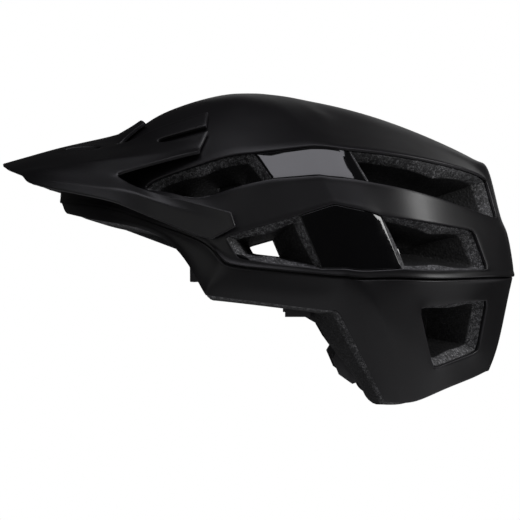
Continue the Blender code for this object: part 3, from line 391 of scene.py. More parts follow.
def gloss_panel():
    """Clear-coated black, with the faint waviness of moulded plastic."""
    s = Surface("gloss_panel", (0.004, 0.004, 0.0045), 0.06, Coat_Weight=0.6, Coat_Roughness=0.03)
    return s.connect(
        Normal=s.bump(s.noise(45, 1.0), 0.05, 0.002),
        Roughness=s.ramp(s.noise(60, 3.0), 0.04, 0.10),
    )


def relief_panel():
    """Gloss black with a faint relief of winding contour bands."""
    s = Surface("relief_panel", (0.0035, 0.0035, 0.004), 0.10, Coat_Weight=0.3, Coat_Roughness=0.06)
    field = s.noise(38, 2.0, 0.55)
    bands = s.math("SINE", s.ramp(field, 0, 60, 0.2, 0.8))
    relief = s.bump(s.ramp(bands, 0, 1, 0.0, 0.6), 0.06, 0.0003)
    return s.connect(Normal=relief, Roughness=s.ramp(s.noise(90, 3.0), 0.07, 0.16))


def bead_foam():
    """Expanded foam: beads a millimetre or two across, each of its own grey, with painted light on the
    bevels round the vents and the rim, and painted shade that makes it darker elsewhere, inside the vents
    too.
    """
    s = Surface("bead_foam", (0.03, 0.03, 0.032), 0.7)
    warp = s.noise(300, 2.0)
    beads = s.add("ShaderNodeTexVoronoi", {"Vector": s.place}, Scale=620.0)
    specks = s.ramp(s.noise(1500, 4.0, 0.7), 0.0, 1.0, 0.45, 0.68)
    tint = s.add("ShaderNodeSeparateColor", {"Color": beads.outputs["Color"]}).outputs[0]
    mixed = s.math("MULTIPLY", tint, specks)
    # Mask of the painted light: 1 on the bevels round the vents and the rim, 0 elsewhere.
    lit = s.add("ShaderNodeAttribute", attribute_name="bevel").outputs["Fac"]
    speck = s.ramp(mixed, 0, 1, 0.0, 0.6)
    # A shaded and a lit copy of the speckled foam: painted shade where the mask is 0, painted light where it
    # is 1.
    inside = s.blend(speck, (0.003, 0.003, 0.0033), (0.030, 0.030, 0.031))
    outside = s.blend(speck, (0.030, 0.030, 0.031), (0.36, 0.36, 0.37))
    colour = s.add("ShaderNodeMix", {0: lit, 6: inside, 7: outside}, data_type="RGBA").outputs[2]
    domes = s.bump(s.ramp(beads.outputs["Distance"], 1, 0, 0.0, 0.7), 0.5, 0.0004)
    rough = s.bump(warp, 0.2, 0.0004, domes)
    return s.connect(Base_Color=colour, Normal=rough, Roughness=s.ramp(specks, 0.75, 0.5, 0, 1))


def nylon():
    """Moulded plastic with a spark-eroded grain."""
    colour = (0.0095, 0.0090, 0.0100)
    s = Surface("nylon", colour, 0.45)
    return s.connect(
        Normal=s.bump(s.noise(2600, 3.0, 0.6), 0.25, 0.0001),
        Roughness=s.ramp(s.noise(70, 3.0), 0.38, 0.55),
        # Painted highlight: the colour is lighter along sharp edges.
        Base_Color=painted_edge_highlight(s, colour, tuple(c * 2.5 for c in colour)),
    )


def pad_fabric():
    """Brushed knit over foam: small loops, lint and a soft sheen."""
    s = Surface("pad_fabric", (0.012, 0.012, 0.013), 0.9, Sheen_Weight=0.35, Sheen_Roughness=0.5)
    loops = s.add("ShaderNodeTexVoronoi", {"Vector": s.place}, Scale=1100.0)
    height = s.ramp(loops.outputs["Distance"], 1, 0, 0.0, 0.6)
    fuzz = s.bump(s.noise(2600, 3.0), 0.35, 0.0002, s.bump(height, 0.55, 0.0004))
    colour = s.blend(s.ramp(s.noise(120, 4.0), 0, 1), (0.0075, 0.0075, 0.008), (0.022, 0.022, 0.024))
    return s.connect(Base_Color=colour, Normal=fuzz, Roughness=s.ramp(height, 0.95, 0.75, 0, 1))


def webbing():
    """Flat woven strap: ribs across it, yarns along it, and two thicker edge yarns."""
    s = Surface("webbing", (0.012, 0.012, 0.013), 0.8, Sheen_Weight=0.25)
    uv = s.add("ShaderNodeTexCoord").outputs["UV"]
    split = s.add("ShaderNodeSeparateXYZ", {"Vector": uv})
    ribs = s.math("SINE", s.ramp(split.outputs["X"], 0, 6283.0, 0, 1))
    yarns = s.math("SINE", s.ramp(split.outputs["Y"], 0, 5400.0, 0, 1))
    weave = s.math("MULTIPLY", ribs, yarns)
    normal = s.bump(s.noise(3000, 3.0), 0.2, 0.0001, s.bump(weave, 0.5, 0.00025))
    colour = s.blend(s.ramp(weave, 0, 1, -1, 1), (0.007, 0.007, 0.0075), (0.020, 0.020, 0.022))
    return s.connect(Base_Color=colour, Normal=normal)


def thread():
    """Twisted sewing thread."""
    s = Surface("thread", (0.02, 0.02, 0.022), 0.6, Sheen_Weight=0.3)
    return s.connect(Normal=s.bump(s.noise(4000, 2.0), 0.4, 0.0001))


def steel():
    """Plain steel, a little uneven in its polish."""
    s = Surface("steel", (0.55, 0.55, 0.56), 0.3, Metallic=1.0)
    return s.connect(
        Roughness=s.ramp(s.noise(500, 4.0), 0.22, 0.38),
        Normal=s.bump(s.noise(1500, 2.0), 0.08, 0.0001),
    )


def pale_floor():
    s = Surface("pale_floor", (0.80, 0.80, 0.80), 0.6)
    return s.connect(Base_Color=s.blend(s.noise(3, 4.0), (0.79, 0.79, 0.79), (0.81, 0.81, 0.81)))


# ==== outer surface
class Net:
    """Control points of the outer surface on both sides, its cells with their labels, and its creases."""

    def __init__(self):
        self.points = []
        self.index = {}
        for column, point in enumerate(CREST, start=1):
            self.add(-1, column, point)
        for row, ring in enumerate(RINGS):
            for column, point in enumerate(ring):
                self.add(row, column, point)
        self.labels = {
            (row, column): label
            for label, (row, first, last) in OPENINGS.items()
            for column in range(first, last + 1)
        }
        self.faces = []
        self.face_labels = []
        self.fill_cap()
        self.fill_sides()

    def add(self, row, column, point):
        x, y, z = point
        for side in (LEFT, RIGHT):
            if y == 0 and side == RIGHT:
                self.index[row, column, RIGHT] = self.index[row, column, LEFT]
                continue
            self.index[row, column, side] = len(self.points)
            self.points.append((x, side * y, z))

    def add_face(self, corners, row, column, side):
        corners = [self.index[r, c, s] for r, c, s in corners]
        self.faces.append(corners if side == LEFT else corners[::-1])
        label = "crown" if row < SEAM_ROW else "lower"
        self.face_labels.append(self.labels.get((row, column), label))

    def fill_cap(self):
        """Cells between the crest and the spine row; the front and rear ones span both sides."""
        end = LAST - 1
        self.add_face([(0, 0, LEFT), (0, 1, LEFT), (-1, 1, LEFT), (0, 1, RIGHT)], -1, 0, LEFT)
        self.add_face([(-1, end, LEFT), (0, end, LEFT), (0, LAST, LEFT), (0, end, RIGHT)], -1, end, LEFT)
        for side in (LEFT, RIGHT):
            for c in range(1, end):
                corners = [(-1, c, side), (0, c, side), (0, c + 1, side), (-1, c + 1, side)]
                self.add_face(corners, -1, c, side)

    def fill_sides(self):
        for side in (LEFT, RIGHT):
            for r in range(len(RINGS) - 1):
                for c in range(LAST):
                    corners = [(r, c, side), (r + 1, c, side), (r + 1, c + 1, side), (r, c + 1, side)]
                    self.add_face(corners, r, c, side)

    def creases(self):
        """Sharpness of each edge that has any: borders between labels, the seam and the facet lines."""
        sharp = {}
        met = {}
        for corners, label in zip(self.faces, self.face_labels):
            for a, b in zip(corners, corners[1:] + corners[:1]):
                edge = (min(a, b), max(a, b))
                if met.setdefault(edge, label) != label:
                    sharp[edge] = 1.0
        for first_row, first, last_row, last, sharpness in FACETS:
            for side in (LEFT, RIGHT):
                if first == last:
                    steps = [(row, first) for row in range(first_row, last_row + 1)]
                else:
                    steps = [(first_row, column) for column in range(first, last + 1)]
                line = [self.index[r, c, side] for r, c in steps]
                for a, b in zip(line, line[1:]):
                    sharp.setdefault((min(a, b), max(a, b)), sharpness)
        return sharp

    def corners(self):
        return {self.index[row, column, side] for row, column in CORNERS for side in (LEFT, RIGHT)}


def subdivided(points, faces, face_labels, sharp_edges, sharp_points, level):
    """Points, faces and face labels after Catmull-Clark subdivision with creases."""
    names = sorted(set(face_labels))
    mesh = bpy.data.meshes.new("control_net")
    mesh.from_pydata(points, [], faces)
    for i, label in enumerate(face_labels):
        mesh.polygons[i].material_index = names.index(label)
    for _ in names:
        mesh.materials.append(None)
    edge_crease = mesh.attributes.new("crease_edge", "FLOAT", "EDGE")
    for edge in mesh.edges:
        a, b = edge.vertices
        edge_crease.data[edge.index].value = sharp_edges.get((min(a, b), max(a, b)), 0.0)
    point_crease = mesh.attributes.new("crease_vert", "FLOAT", "POINT")
    for i in sharp_points:
        point_crease.data[i].value = CORNER_SHARPNESS
    obj = linked("control_net", mesh)
    modifier = obj.modifiers.new("smooth", "SUBSURF")
    modifier.levels = modifier.render_levels = level
    fine = evaluated_copy(obj)
    fine_points = np.array([v.co[:] for v in fine.vertices])
    fine_faces = [tuple(p.vertices) for p in fine.polygons]
    fine_labels = [names[p.material_index] for p in fine.polygons]
    bpy.data.objects.remove(obj, do_unlink=True)
    return fine_points, fine_faces, fine_labels


def fitted(points, faces, face_labels, sharp_edges, sharp_points):
    """The control points moved outwards until the subdivided surface passes through the points given."""
    goal = np.array(points, dtype=float)
    control = goal.copy()
    for _ in range(FITTING_STEPS):
        reached, _, _ = subdivided(control.tolist(), faces, face_labels, sharp_edges, sharp_points, 2)
        control += goal - reached[:len(goal)]
    return control.tolist()


def point_normals(points, faces):
    """Unit normals at the points of a mesh of quads."""
    corners = np.array(faces)
    diagonals = points[corners[:, 2]] - points[corners[:, 0]], points[corners[:, 3]] - points[corners[:, 1]]
    face_normals = np.cross(*diagonals)
    normals = np.zeros_like(points)
    for k in range(4):
        np.add.at(normals, corners[:, k], face_normals)
    lengths = np.linalg.norm(normals, axis=1)
    return normals / np.where(lengths > 0, lengths, 1)[:, None]


def border_edges(faces):
    """Edges with one face, in that face's order."""
    seen = set()
    for face in faces:
        for a, b in zip(face, face[1:] + face[:1]):
            seen.add((a, b))
    return sorted((a, b) for a, b in seen if (b, a) not in seen)


def inset(points, normals, edges, gap):
    """The points with each border moved into the surface by the gap."""
    directions = {}
    for a, b in edges:
        along = points[b] - points[a]
        inward = np.cross((normals[a] + normals[b]) / 2, along)
        inward /= np.linalg.norm(inward)
        directions.setdefault(a, []).append(inward)
        directions.setdefault(b, []).append(inward)
    moved = points.copy()
    for i, found in directions.items():
        total = np.sum(found, axis=0)
        moved[i] += gap * total / max(total.dot(total) / len(found), 0.3)
    return moved


def distance_to_edges(points, edges, sources):
    """For each point, its distance from the nearest of the edges of another set of points."""
    starts = sources[[a for a, _ in edges]]
    spans = sources[[b for _, b in edges]] - starts
    squares = (spans ** 2).sum(axis=1)
    nearest = np.full(len(points), np.inf)
    for start, span, square in zip(starts, spans, squares):
        t = np.clip((points - start) @ span / square, 0, 1)
        nearest = np.minimum(nearest, np.linalg.norm(points - start - t[:, None] * span, axis=1))
    return nearest


def walls_between(rings, borders):
    """Quads from each ring to the next. A ring gives each point of the borders its index in the solid."""
    walls = []
    for here, after in zip(rings, rings[1:]):
        walls += [(here[b], here[a], after[a], after[b]) for a, b in borders]
    return walls


def share_near(points, edges, sources, reach):
    """For each point: 1 at the edges, falling evenly to 0 at the reach from them."""
    return np.clip(1 - distance_to_edges(points, edges, sources) / reach, 0, 1)


def rounded_shell(name, points, normals, faces, outer, inner, edge):
    """A sheet between two depths below a surface, with rounded edges. A depth may be one per point."""
    outer = np.broadcast_to(outer, len(points)).astype(float)
    inner = np.broadcast_to(inner, len(points)).astype(float)
    used = sorted({i for face in faces for i in face})
    borders = border_edges(faces)
    rim = sorted({i for pair in borders for i in pair})
    sheet_index = {old: k for k, old in enumerate(used)}
    count = len(used)
    top = inset(points, normals, borders, edge)
    bottom = inset(points, normals, borders, edge * 0.5)
    solid = [top[used] - normals[used] * outer[used, None], bottom[used] - normals[used] * inner[used, None]]
    outside = [tuple(sheet_index[i] for i in face) for face in faces]
    inside = [tuple(i + count for i in reversed(face)) for face in outside]
    rings = [sheet_index]

    def add_ring(sheet, depth):
        start = sum(len(part) for part in solid)
        solid.append(sheet[rim] - normals[rim] * depth[:, None])
        rings.append({old: start + k for k, old in enumerate(rim)})

    for degrees in (30, 60, 90):
        angle = math.radians(degrees)
        ring = inset(points, normals, borders, edge * (1 - math.sin(angle)))
        add_ring(ring, outer[rim] + edge * (1 - math.cos(angle)))
    add_ring(points, inner[rim] - edge * 0.5)
    rings.append({old: sheet_index[old] + count for old in rim})
    return mesh_object(name, np.concatenate(solid), outside + inside + walls_between(rings, borders), 40)


class OuterSurface:
    """The fine outer surface, from which the shells, the panels and the liner take their faces."""

    def __init__(self, level):
        net = Net()
        layout = (net.faces, net.face_labels, net.creases(), net.corners())
        self.points, self.faces, self.labels = subdivided(fitted(net.points, *layout), *layout, level)
        self.normals = point_normals(self.points, self.faces)
        self.tree = BVHTree.FromPolygons(self.points.tolist(), self.faces)

    def faces_of(self, *labels):
        return [face for face, label in zip(self.faces, self.labels) if label in labels]

    def side_faces(self, label, side):
        return [face for face in self.faces_of(label) if self.points[list(face)][:, 1].mean() * side > 0]

    def seam_border(self, faces):
        """The border edges that both shells share."""
        shared = {i for face in self.faces_of("crown") for i in face}
        shared &= {i for face in self.faces_of("lower") for i in face}
        return [(a, b) for a, b in border_edges(faces) if a in shared and b in shared]


# ==== head cavity
def on_cavity(point):
    """The point moved towards or away from the head's axis until it lies on the cavity wall."""
    x, y, z = HEAD_FRAME_INVERSE @ Vector(point)
    above = max(z, 0.0)
    scale = 1 / math.sqrt((x / CAVITY_LENGTH) ** 2 + (y / CAVITY_WIDTH) ** 2 + (above / CAVITY_HEIGHT) ** 2)
    return HEAD_FRAME @ Vector((x * scale, y * scale, z * scale if z > 0 else z))


def smooth_step(value):
    """0 below 0, 1 above 1, and a smooth rise between."""
    value = min(max(value, 0.0), 1.0)
    return value * value * (3 - 2 * value)


def liner_wall(point):
    """The liner's inner face: the cavity, a hollow at the rear for the dial, and channels over the head."""
    wall = on_cavity(point)
    low = smooth_step((-25 - wall.z) / 30)
    middle = math.exp(-((wall.y / 26) ** 4)) if wall.x > 0 else 0.0
    wall += Vector((DIAL_RECESS_DEPTH * low * middle, 0, 0))
    high = smooth_step((wall.z - 40) / 16)
    channel = math.exp(-(((abs(wall.y) - 28) / 6.0) ** 4))
    return wall + (wall - HEAD_CENTRE).normalized() * CHANNEL_DEPTH * high * channel


# ==== shell, panels and liner
def top_shell(surface, material):
    """The crown shell, which stands a little proud along the seam."""
    faces = surface.faces_of("crown")
    seam = surface.seam_border(faces)
    points = inset(surface.points, surface.normals, seam, SEAM_GAP)
    lip = share_near(points, seam, surface.points, LIP_REACH)
    depth = -LIP_HEIGHT * lip
    obj = rounded_shell("crown_shell", points, surface.normals, faces, depth, SHELL_THICKNESS, SHELL_EDGE)
    return place(obj, "top_shell", material)


def lower_shell(surface, material):
    """The shell below the seam."""
    faces = surface.faces_of("lower")
    points = inset(surface.points, surface.normals, surface.seam_border(faces), SEAM_GAP)
    obj = rounded_shell("skirt_shell", points, surface.normals, faces, 0, SHELL_THICKNESS, SHELL_EDGE)
    return place(obj, "lower_shell", material)


def insert_panels(surface, upper_material, lower_material):
    """The gloss panels between the vents."""
    for side in (LEFT, RIGHT):
        for level, material in (("upper", upper_material), ("lower", lower_material)):
            place_name = f"{level}_{SIDE_NAMES[side]}"
            faces = surface.side_faces(f"insert_{level}", side)
            borders = border_edges(faces)
            points = inset(surface.points, surface.normals, borders, INSERT_GAP)
            rear = [(a, b) for a, b in borders if is_rear_edge(surface.points[a], surface.points[b])]
            if level == "upper":
                rolled = share_near(points, borders, surface.points, UPPER_ROLL_REACH) ** 2
                fold = share_near(points, rear, surface.points, UPPER_FOLD_REACH)
                depth = INSERT_OUTER + UPPER_ROLL_DEPTH * rolled + UPPER_FOLD_DEPTH * fold ** 2
                inner = INSERT_INNER + 1.6
            else:
                slope = share_near(points, rear, surface.points, LOWER_SLOPE_REACH)
                depth = INSERT_OUTER + LOWER_SLOPE_DEPTH * slope
                inner = INSERT_INNER + 1.2
            name = f"panel_{place_name}"
            obj = rounded_shell(name, points, surface.normals, faces, depth, inner, INSERT_EDGE)
            place(obj, f"insert_{place_name}", material)


def is_rear_edge(a, b):
    """Whether a border edge of a panel is on its rear side, which leans back and down."""
    middle = (a + b) / 2
    direction = np.abs(b - a)
    return middle[0] > 38 and direction[2] > direction[0] * 0.8


def hole_centres(surface):
    """For each point round a vent: its centre, how much it narrows, and how far back its inner end lies."""
    centres = {}
    for label, narrowing in {**NARROWING, "vent_side_rear": REAR_VENT_NARROWING}.items():
        groups = [surface.faces_of(label)]
        if label != "vent_front":
            groups = [surface.side_faces(label, side) for side in (LEFT, RIGHT)]
        for faces in groups:
            rim = sorted({a for a, _ in border_edges(faces)})
            centre = surface.points[rim].mean(axis=0)
            for i in rim:
                centres[i] = (centre, narrowing, VENT_LEAD.get(label, 0))
    return centres


def lobe_lead(point):
    """How far forward of the rim the foam's inner edge reaches, in front of the low lobes at the rear."""
    x, _, z = point
    along = smooth_step((x - 12) / 12) * smooth_step((85 - x) / 25)
    down = smooth_step((-24 - z) / 8) * (1 - 0.85 * smooth_step((-45 - z) / 42))
    return LOBE_LEAD * along * down


def vent_path(point, normal, centre, narrowing, lead):
    """From a vent's rim over its bevel and through the foam, and its end on the cavity wall."""
    to_centre = centre - point
    step = to_centre / np.linalg.norm(to_centre) * BEVEL_REACH
    bevel = point + step - normal * BEVEL_DEPTH
    end = np.array(liner_wall(point + to_centre * narrowing + np.array((lead, 0, 0))))
    return [bevel + (end - bevel) * t for t in VENT_STEPS], end


def rim_path(point):
    """From the lower rim round the foam's rolled edge, and its end on the cavity wall."""
    end = np.array(liner_wall(point - np.array((lobe_lead(point), 0, 0))))
    low = (point + end) / 2 - np.array((0, 0, ROLL_DROP))
    return [point * (1 - t) ** 2 + low * 2 * t * (1 - t) + end * t * t for t in RIM_STEPS], end


def liner(surface, material):
    """Foam from under the shells to the cavity, with bevelled vents through it and a rolled lower edge."""
    faces = surface.faces_of("crown", "lower", "insert_upper", "insert_lower")
    centres = hole_centres(surface)
    used = sorted({i for face in faces for i in face})
    new = {old: k for k, old in enumerate(used)}
    count = len(used)
    outer = surface.points[used] - surface.normals[used] * LINER_DEPTH
    borders = border_edges(faces)
    rim = {i for pair in borders for i in pair}
    rings = [{} for _ in VENT_STEPS]
    ring_points = []
    inner = np.empty_like(outer)
    for k, i in enumerate(used):
        if i not in rim:
            inner[k] = liner_wall(outer[k])
            continue
        if i in centres:
            path, inner[k] = vent_path(outer[k], surface.normals[i], *centres[i])
        else:
            path, inner[k] = rim_path(outer[k])
        for ring, point in zip(rings, path):
            ring[i] = 2 * count + len(ring_points)
            ring_points.append(point)
    points = np.concatenate([outer, inner, np.array(ring_points)])
    outside = [tuple(new[i] for i in face) for face in faces]
    inside = [tuple(i + count for i in reversed(face)) for face in outside]
    chain = [new] + rings + [{i: new[i] + count for i in rim}]
    solid_faces = outside + inside + walls_between(chain, borders)
    used_points = sorted({i for face in solid_faces for i in face})
    packed = {old: k for k, old in enumerate(used_points)}
    solid_faces = [tuple(packed[i] for i in face) for face in solid_faces]
    obj = mesh_object("foam_liner", points[used_points], solid_faces, 35)
    # Mask of the foam's painted light: 1 on the bevels round the vents and the rim, 0 on the rest, which the
    # foam paints in shade.
    bevel = obj.data.attributes.new("bevel", "FLOAT", "POINT")
    painted_lit_points = set(rings[0].values()) | {new[i] for i in rim}
    for old, point in packed.items():
        bevel.data[point].value = 1.0 if old in painted_lit_points else 0.0
    return place(obj, "eps_liner", material)


# ==== visor
def visor_net():
    """Points, faces, creases and corner points of the visor on both sides."""
    points, index, faces, folds = [], {}, [], {}
    for r, row in enumerate(VISOR_ROWS):
        for s, (x, y, z) in enumerate(row):
            for side in (LEFT, RIGHT):
                if r == 0 and side == RIGHT:
                    index[r, s, side] = index[r, s, LEFT]
                    continue
                index[r, s, side] = len(points)
                points.append((x, side * y, z))
    slots = {(r, s) for r, first, last in VISOR_SLOTS for s in range(first, last + 1)}
    for side in (LEFT, RIGHT):
        for r in range(len(VISOR_ROWS) - 1):
            for s in range(min(len(VISOR_ROWS[r]), len(VISOR_ROWS[r + 1])) - 1):
                if (r, s) in slots:
                    continue
                places = ((r, s), (r + 1, s), (r + 1, s + 1), (r, s + 1))
                corners = [index[row, station, side] for row, station in places]
                faces.append(corners if side == LEFT else corners[::-1])
        for r, first, last, sharpness in VISOR_FOLDS:
            for s in range(first, last):
                a, b = index[r, s, side], index[r, s + 1, side]
                folds[min(a, b), max(a, b)] = sharpness
    sharp = {index[r, s, side] for r, s in VISOR_CORNERS for side in (LEFT, RIGHT)}
    return points, faces, folds, sharp


def visor(surface, material):
    """The peak with its slots, fingers over the crown and side arms, held just clear of the shell."""
    points, faces, folds, sharp = visor_net()
    points, faces, _ = subdivided(points, faces, ["visor"] * len(faces), folds, sharp, LEVEL)
    clear = VISOR_THICKNESS + VISOR_CLEARANCE
    for _ in range(3):
        for i, point in enumerate(points):
            spot, normal, _, _ = surface.tree.find_nearest(Vector(point))
            height = (Vector(point) - spot).dot(normal)
            if height < clear:
                points[i] = Vector(point) + normal * (clear - height)
    obj = rounded_shell("peak", points, point_normals(points, faces), faces, 0, VISOR_THICKNESS, VISOR_EDGE)
    return place(obj, "visor", material)


# ==== CAD pieces that keep their shape
def refined(node, material):
    """A copy of a CAD node with clean faces and rounded edges, which stands for it."""
    mesh = frame["nodes"][node].data.copy()
    soft = bmesh.new()
    soft.from_mesh(mesh)
    bmesh.ops.remove_doubles(soft, verts=soft.verts, dist=0.00001)
    bmesh.ops.dissolve_limit(soft, angle_limit=math.radians(1.0), verts=soft.verts, edges=soft.edges)
    soft.to_mesh(mesh)
    soft.free()
    obj = linked(f"{node}_fine", mesh)
    bevel = obj.modifiers.new("rounding", "BEVEL")
    bevel.width = 0.35 * MM
    bevel.segments = 2
    bevel.limit_method = "ANGLE"
    bevel.angle_limit = math.radians(32)
    bevel.use_clamp_overlap = True
    apply_modifiers(obj)
    shade(obj.data, 35)
    return place(obj, node, material)


# ==== pads
CLOTH_FRAMES = 15
SWELL_CAP = 0.9


class LinerWall:
    """The inner face of the CAD liner, on which the fittings sit."""

    def __init__(self):
        self.tree = node_tree_of("eps_liner")

    def at(self, seed, depth):
        """The point at a depth inside the liner wall, on the line from the head's axis through the seed."""
        cavity = on_cavity(seed)
        axis_height = min((HEAD_FRAME_INVERSE @ Vector(seed)).z, 0.0)
        start = HEAD_FRAME @ Vector((0, 0, axis_height))
        direction = (cavity - start).normalized()
        reach = (cavity - start).length
        hit, _, _, distance = self.tree.ray_cast(start, direction)
        if hit is not None and distance < reach:
            reach = distance
        return start + direction * (reach - depth)


def low_seed(x, z, side):
    """A point beside the head below its widest line."""
    return HEAD_FRAME @ Vector((x, side * 75, z))


def high_seed(x, angle, side):
    """A point beside or over the head, at an angle up from its widest line."""
    a = math.radians(angle)
    return HEAD_FRAME @ Vector((x, side * 75 * math.cos(a), 84 * math.sin(a)))


def front_seed(angle, height):
    """A point in front of the head, at an angle round from the centre."""
    a = math.radians(angle)
    return HEAD_FRAME @ Vector((-100 * math.cos(a), 75 * math.sin(a), height))


def cushion(name, node, under, over, channels, material):
    """A pad between a grid of points on the wall and a grid on the head's side.

    It has a flat welded border, a swollen middle and sewn channels. A short cloth simulation blows it up.
    """
    rows, columns = len(under), len(under[0])
    points, fill = [], []
    for r in range(rows):
        for c in range(columns):
            u, v = r / (rows - 1), c / (columns - 1)
            edge = min(u, 1 - u) * rows, min(v, 1 - v) * columns
            swell = smooth_step((edge[0] - 1.0) / 3.5) * smooth_step((edge[1] - 1.0) / 3.5)
            for channel in channels:
                swell *= 1 - 0.45 * math.exp(-(((u - channel) * rows / 0.9) ** 2))
            points.append(under[r][c] + (over[r][c] - under[r][c]) * (0.22 + 0.72 * swell))
            fill.append(swell)
    back = [p for row in under for p in row]
    half = rows * columns
    faces = []
    for r in range(rows - 1):
        for c in range(columns - 1):
            a = r * columns + c
            quad = (a, a + columns, a + columns + 1, a + 1)
            faces.append(quad)
            faces.append(tuple(i + half for i in reversed(quad)))
    edge = list(range(columns))
    edge += [r * columns + columns - 1 for r in range(1, rows)]
    edge += [(rows - 1) * columns + c for c in range(columns - 2, -1, -1)]
    edge += [r * columns for r in range(rows - 2, 0, -1)]
    for a, b in zip(edge, edge[1:] + edge[:1]):
        faces.append((a, b, b + half, a + half))
    obj = mesh_object(name, points + back, faces, 60)
    blow_up(obj, fill)
    smooth = obj.modifiers.new("smooth", "SUBSURF")
    smooth.levels = smooth.render_levels = 1
    apply_modifiers(obj)
    shade(obj.data, 60)
    place(obj, node, material)
    return obj


def blow_up(obj, fill):
    """Swells the free part of a pad's cover under pressure, by no more than a cap."""
    start = np.array([v.co[:] for v in obj.data.vertices])
    held = obj.vertex_groups.new(name="held")
    for i in range(len(start)):
        weight = 1.0 if i >= len(fill) else 1.0 - min(fill[i] * 1.6, 1.0)
        held.add([i], weight, "REPLACE")
    cloth = obj.modifiers.new("cloth", "CLOTH")
    settings = {
        "vertex_group_mass": "held",
        "quality": 6,
        "mass": 0.2,
        "tension_stiffness": 8,
        "compression_stiffness": 8,
        "bending_stiffness": 0.2,
        "shrink_min": -0.06,
        "use_pressure": True,
        "uniform_pressure_force": 4.0,
    }
    for key, value in settings.items():
        setattr(cloth.settings, key, value)
    cloth.settings.effector_weights.gravity = 0.0
    scene = bpy.context.scene
    for step in range(1, CLOTH_FRAMES + 1):
        scene.frame_set(step)
    swollen = evaluated_copy(obj)
    obj.modifiers.clear()
    scene.frame_set(1)
    moved = np.array([v.co[:] for v in swollen.vertices]) - start
    lengths = np.linalg.norm(moved, axis=1)
    moved *= (np.minimum(lengths, SWELL_CAP * MM) / np.where(lengths > 0, lengths, 1))[:, None]
    obj.data.vertices.foreach_set("co", (start + moved).ravel())
    obj.vertex_groups.clear()
    bpy.data.meshes.remove(swollen)


def spaced(low, high, step):
    """Numbers from low to high, about a step apart."""
    count = max(int(round((high - low) / step)), 2)
    return [low + (high - low) * k / count for k in range(count + 1)]


def wall_cushion(name, wall, seeds, thickness, lift, channels, material):
    """A pad of one thickness on the liner wall, over a grid of seeds."""
    under = [[wall.at(p, lift) for p in row] for row in seeds]
    over = [[wall.at(p, lift + thickness) for p in row] for row in seeds]
    return cushion(f"{name}_soft", name, under, over, channels, material)


def pads(wall, material):
    """The brow, side and crown pads."""
    seeds = []
    for angle in spaced(-54, 54, 1.6):
        low = 6 - 9 * (angle / 54) ** 2
        seeds.append([front_seed(angle, low + step) for step in spaced(0, 24, 1.8)])
    wall_cushion("brow_pad", wall, seeds, 7.5, 1.6, (0.16, 0.33, 0.5, 0.67, 0.84), material)
    for side in (LEFT, RIGHT):
        seeds = [[high_seed(x, angle, side) for angle in spaced(44, 62, 1.2)] for x in spaced(-22, 26, 1.7)]
        wall_cushion(f"side_pad_{SIDE_NAMES[side]}", wall, seeds, 6, 0.5, (0.5,), material)
    seeds = [[HEAD_FRAME @ Vector((x, y, 84)) for y in spaced(-18, 18, 1.7)] for x in spaced(2, 59, 1.7)]
    wall_cushion("crown_pad", wall, seeds, 6, 0.5, (0.33, 0.67), material)


def band_point(angle, out, height):
    """A point round the band: 0 is the rear, the left is negative, and out is from the arms' mid surface."""
    a = math.radians(angle)
    radius = BAND_RADIUS + out
    return BAND_AXIS @ Vector((radius * math.cos(a), radius * math.sin(a), height))


def cradle_pads(material):
    """The pads on the head's side of the cradle."""
    for side in (LEFT, RIGHT):
        under, over = [], []
        for angle in spaced(50, 70, 0.9):
            share = (angle - 50) / 20
            low = -20 - 6 * math.sin(math.pi * share)
            high = 1 + 4 * math.sin(math.pi * share)
            heights = spaced(low, high, (high - low) / 16)
            under.append([band_point(side * angle, -4.8, h) for h in heights])
            over.append([band_point(side * angle, -8.3, h) for h in heights])
        name = f"cradle_pad_{SIDE_NAMES[side]}"
        cushion(f"{name}_soft", name, under, over, (0.5,), material)


# ==== straps
def wall_axes(seed):
    """Unit vectors at a seed of the cavity wall: into the head, level to the rear, and up along the wall."""
    back, rise = Vector((3, 0, 0)), Vector((0, 0, 3))
    level = on_cavity(seed + back) - on_cavity(seed - back)
    rise = on_cavity(seed + rise) - on_cavity(seed - rise)
    inward = level.cross(rise).normalized()
    if inward.y * seed.y > 0:
        inward = -inward
    level.normalize()
    up = inward.cross(level)
    return inward, level, up if up.z > 0 else -up


def frame_of(origin, axes):
    """The matrix of a frame with this origin and these axes."""
    result = Matrix(axes).transposed().to_4x4()
    result.translation = origin
    return result


def anchor_path(wall, seed):
    """The first points of a web, out of its anchor."""
    anchor = frame_of(wall.at(seed, 0), wall_axes(seed))
    path = [anchor @ Vector(p) for p in ((-3.4, 0, 0), (0.4, 0, 0), (2.3, 0, 0.7), (3.2, 0, 3.2))]
    return path, [anchor.col[1].xyz] * len(path)


def lay_web(wall, seeds, path, across):
    """Extends a web over the liner wall through the seeds, flat on the wall."""
    places = [wall.at(seed, WEB_DEPTH) for seed in seeds]
    last = path[-1]
    for i, spot in enumerate(places):
        after = places[min(i + 1, len(places) - 1)]
        direction = wall_axes(seeds[i])[0].cross(after - last).normalized()
        if direction.dot(across[-1]) < 0:
            direction = -direction
        path.append(spot)
        across.append(direction)
        last = spot


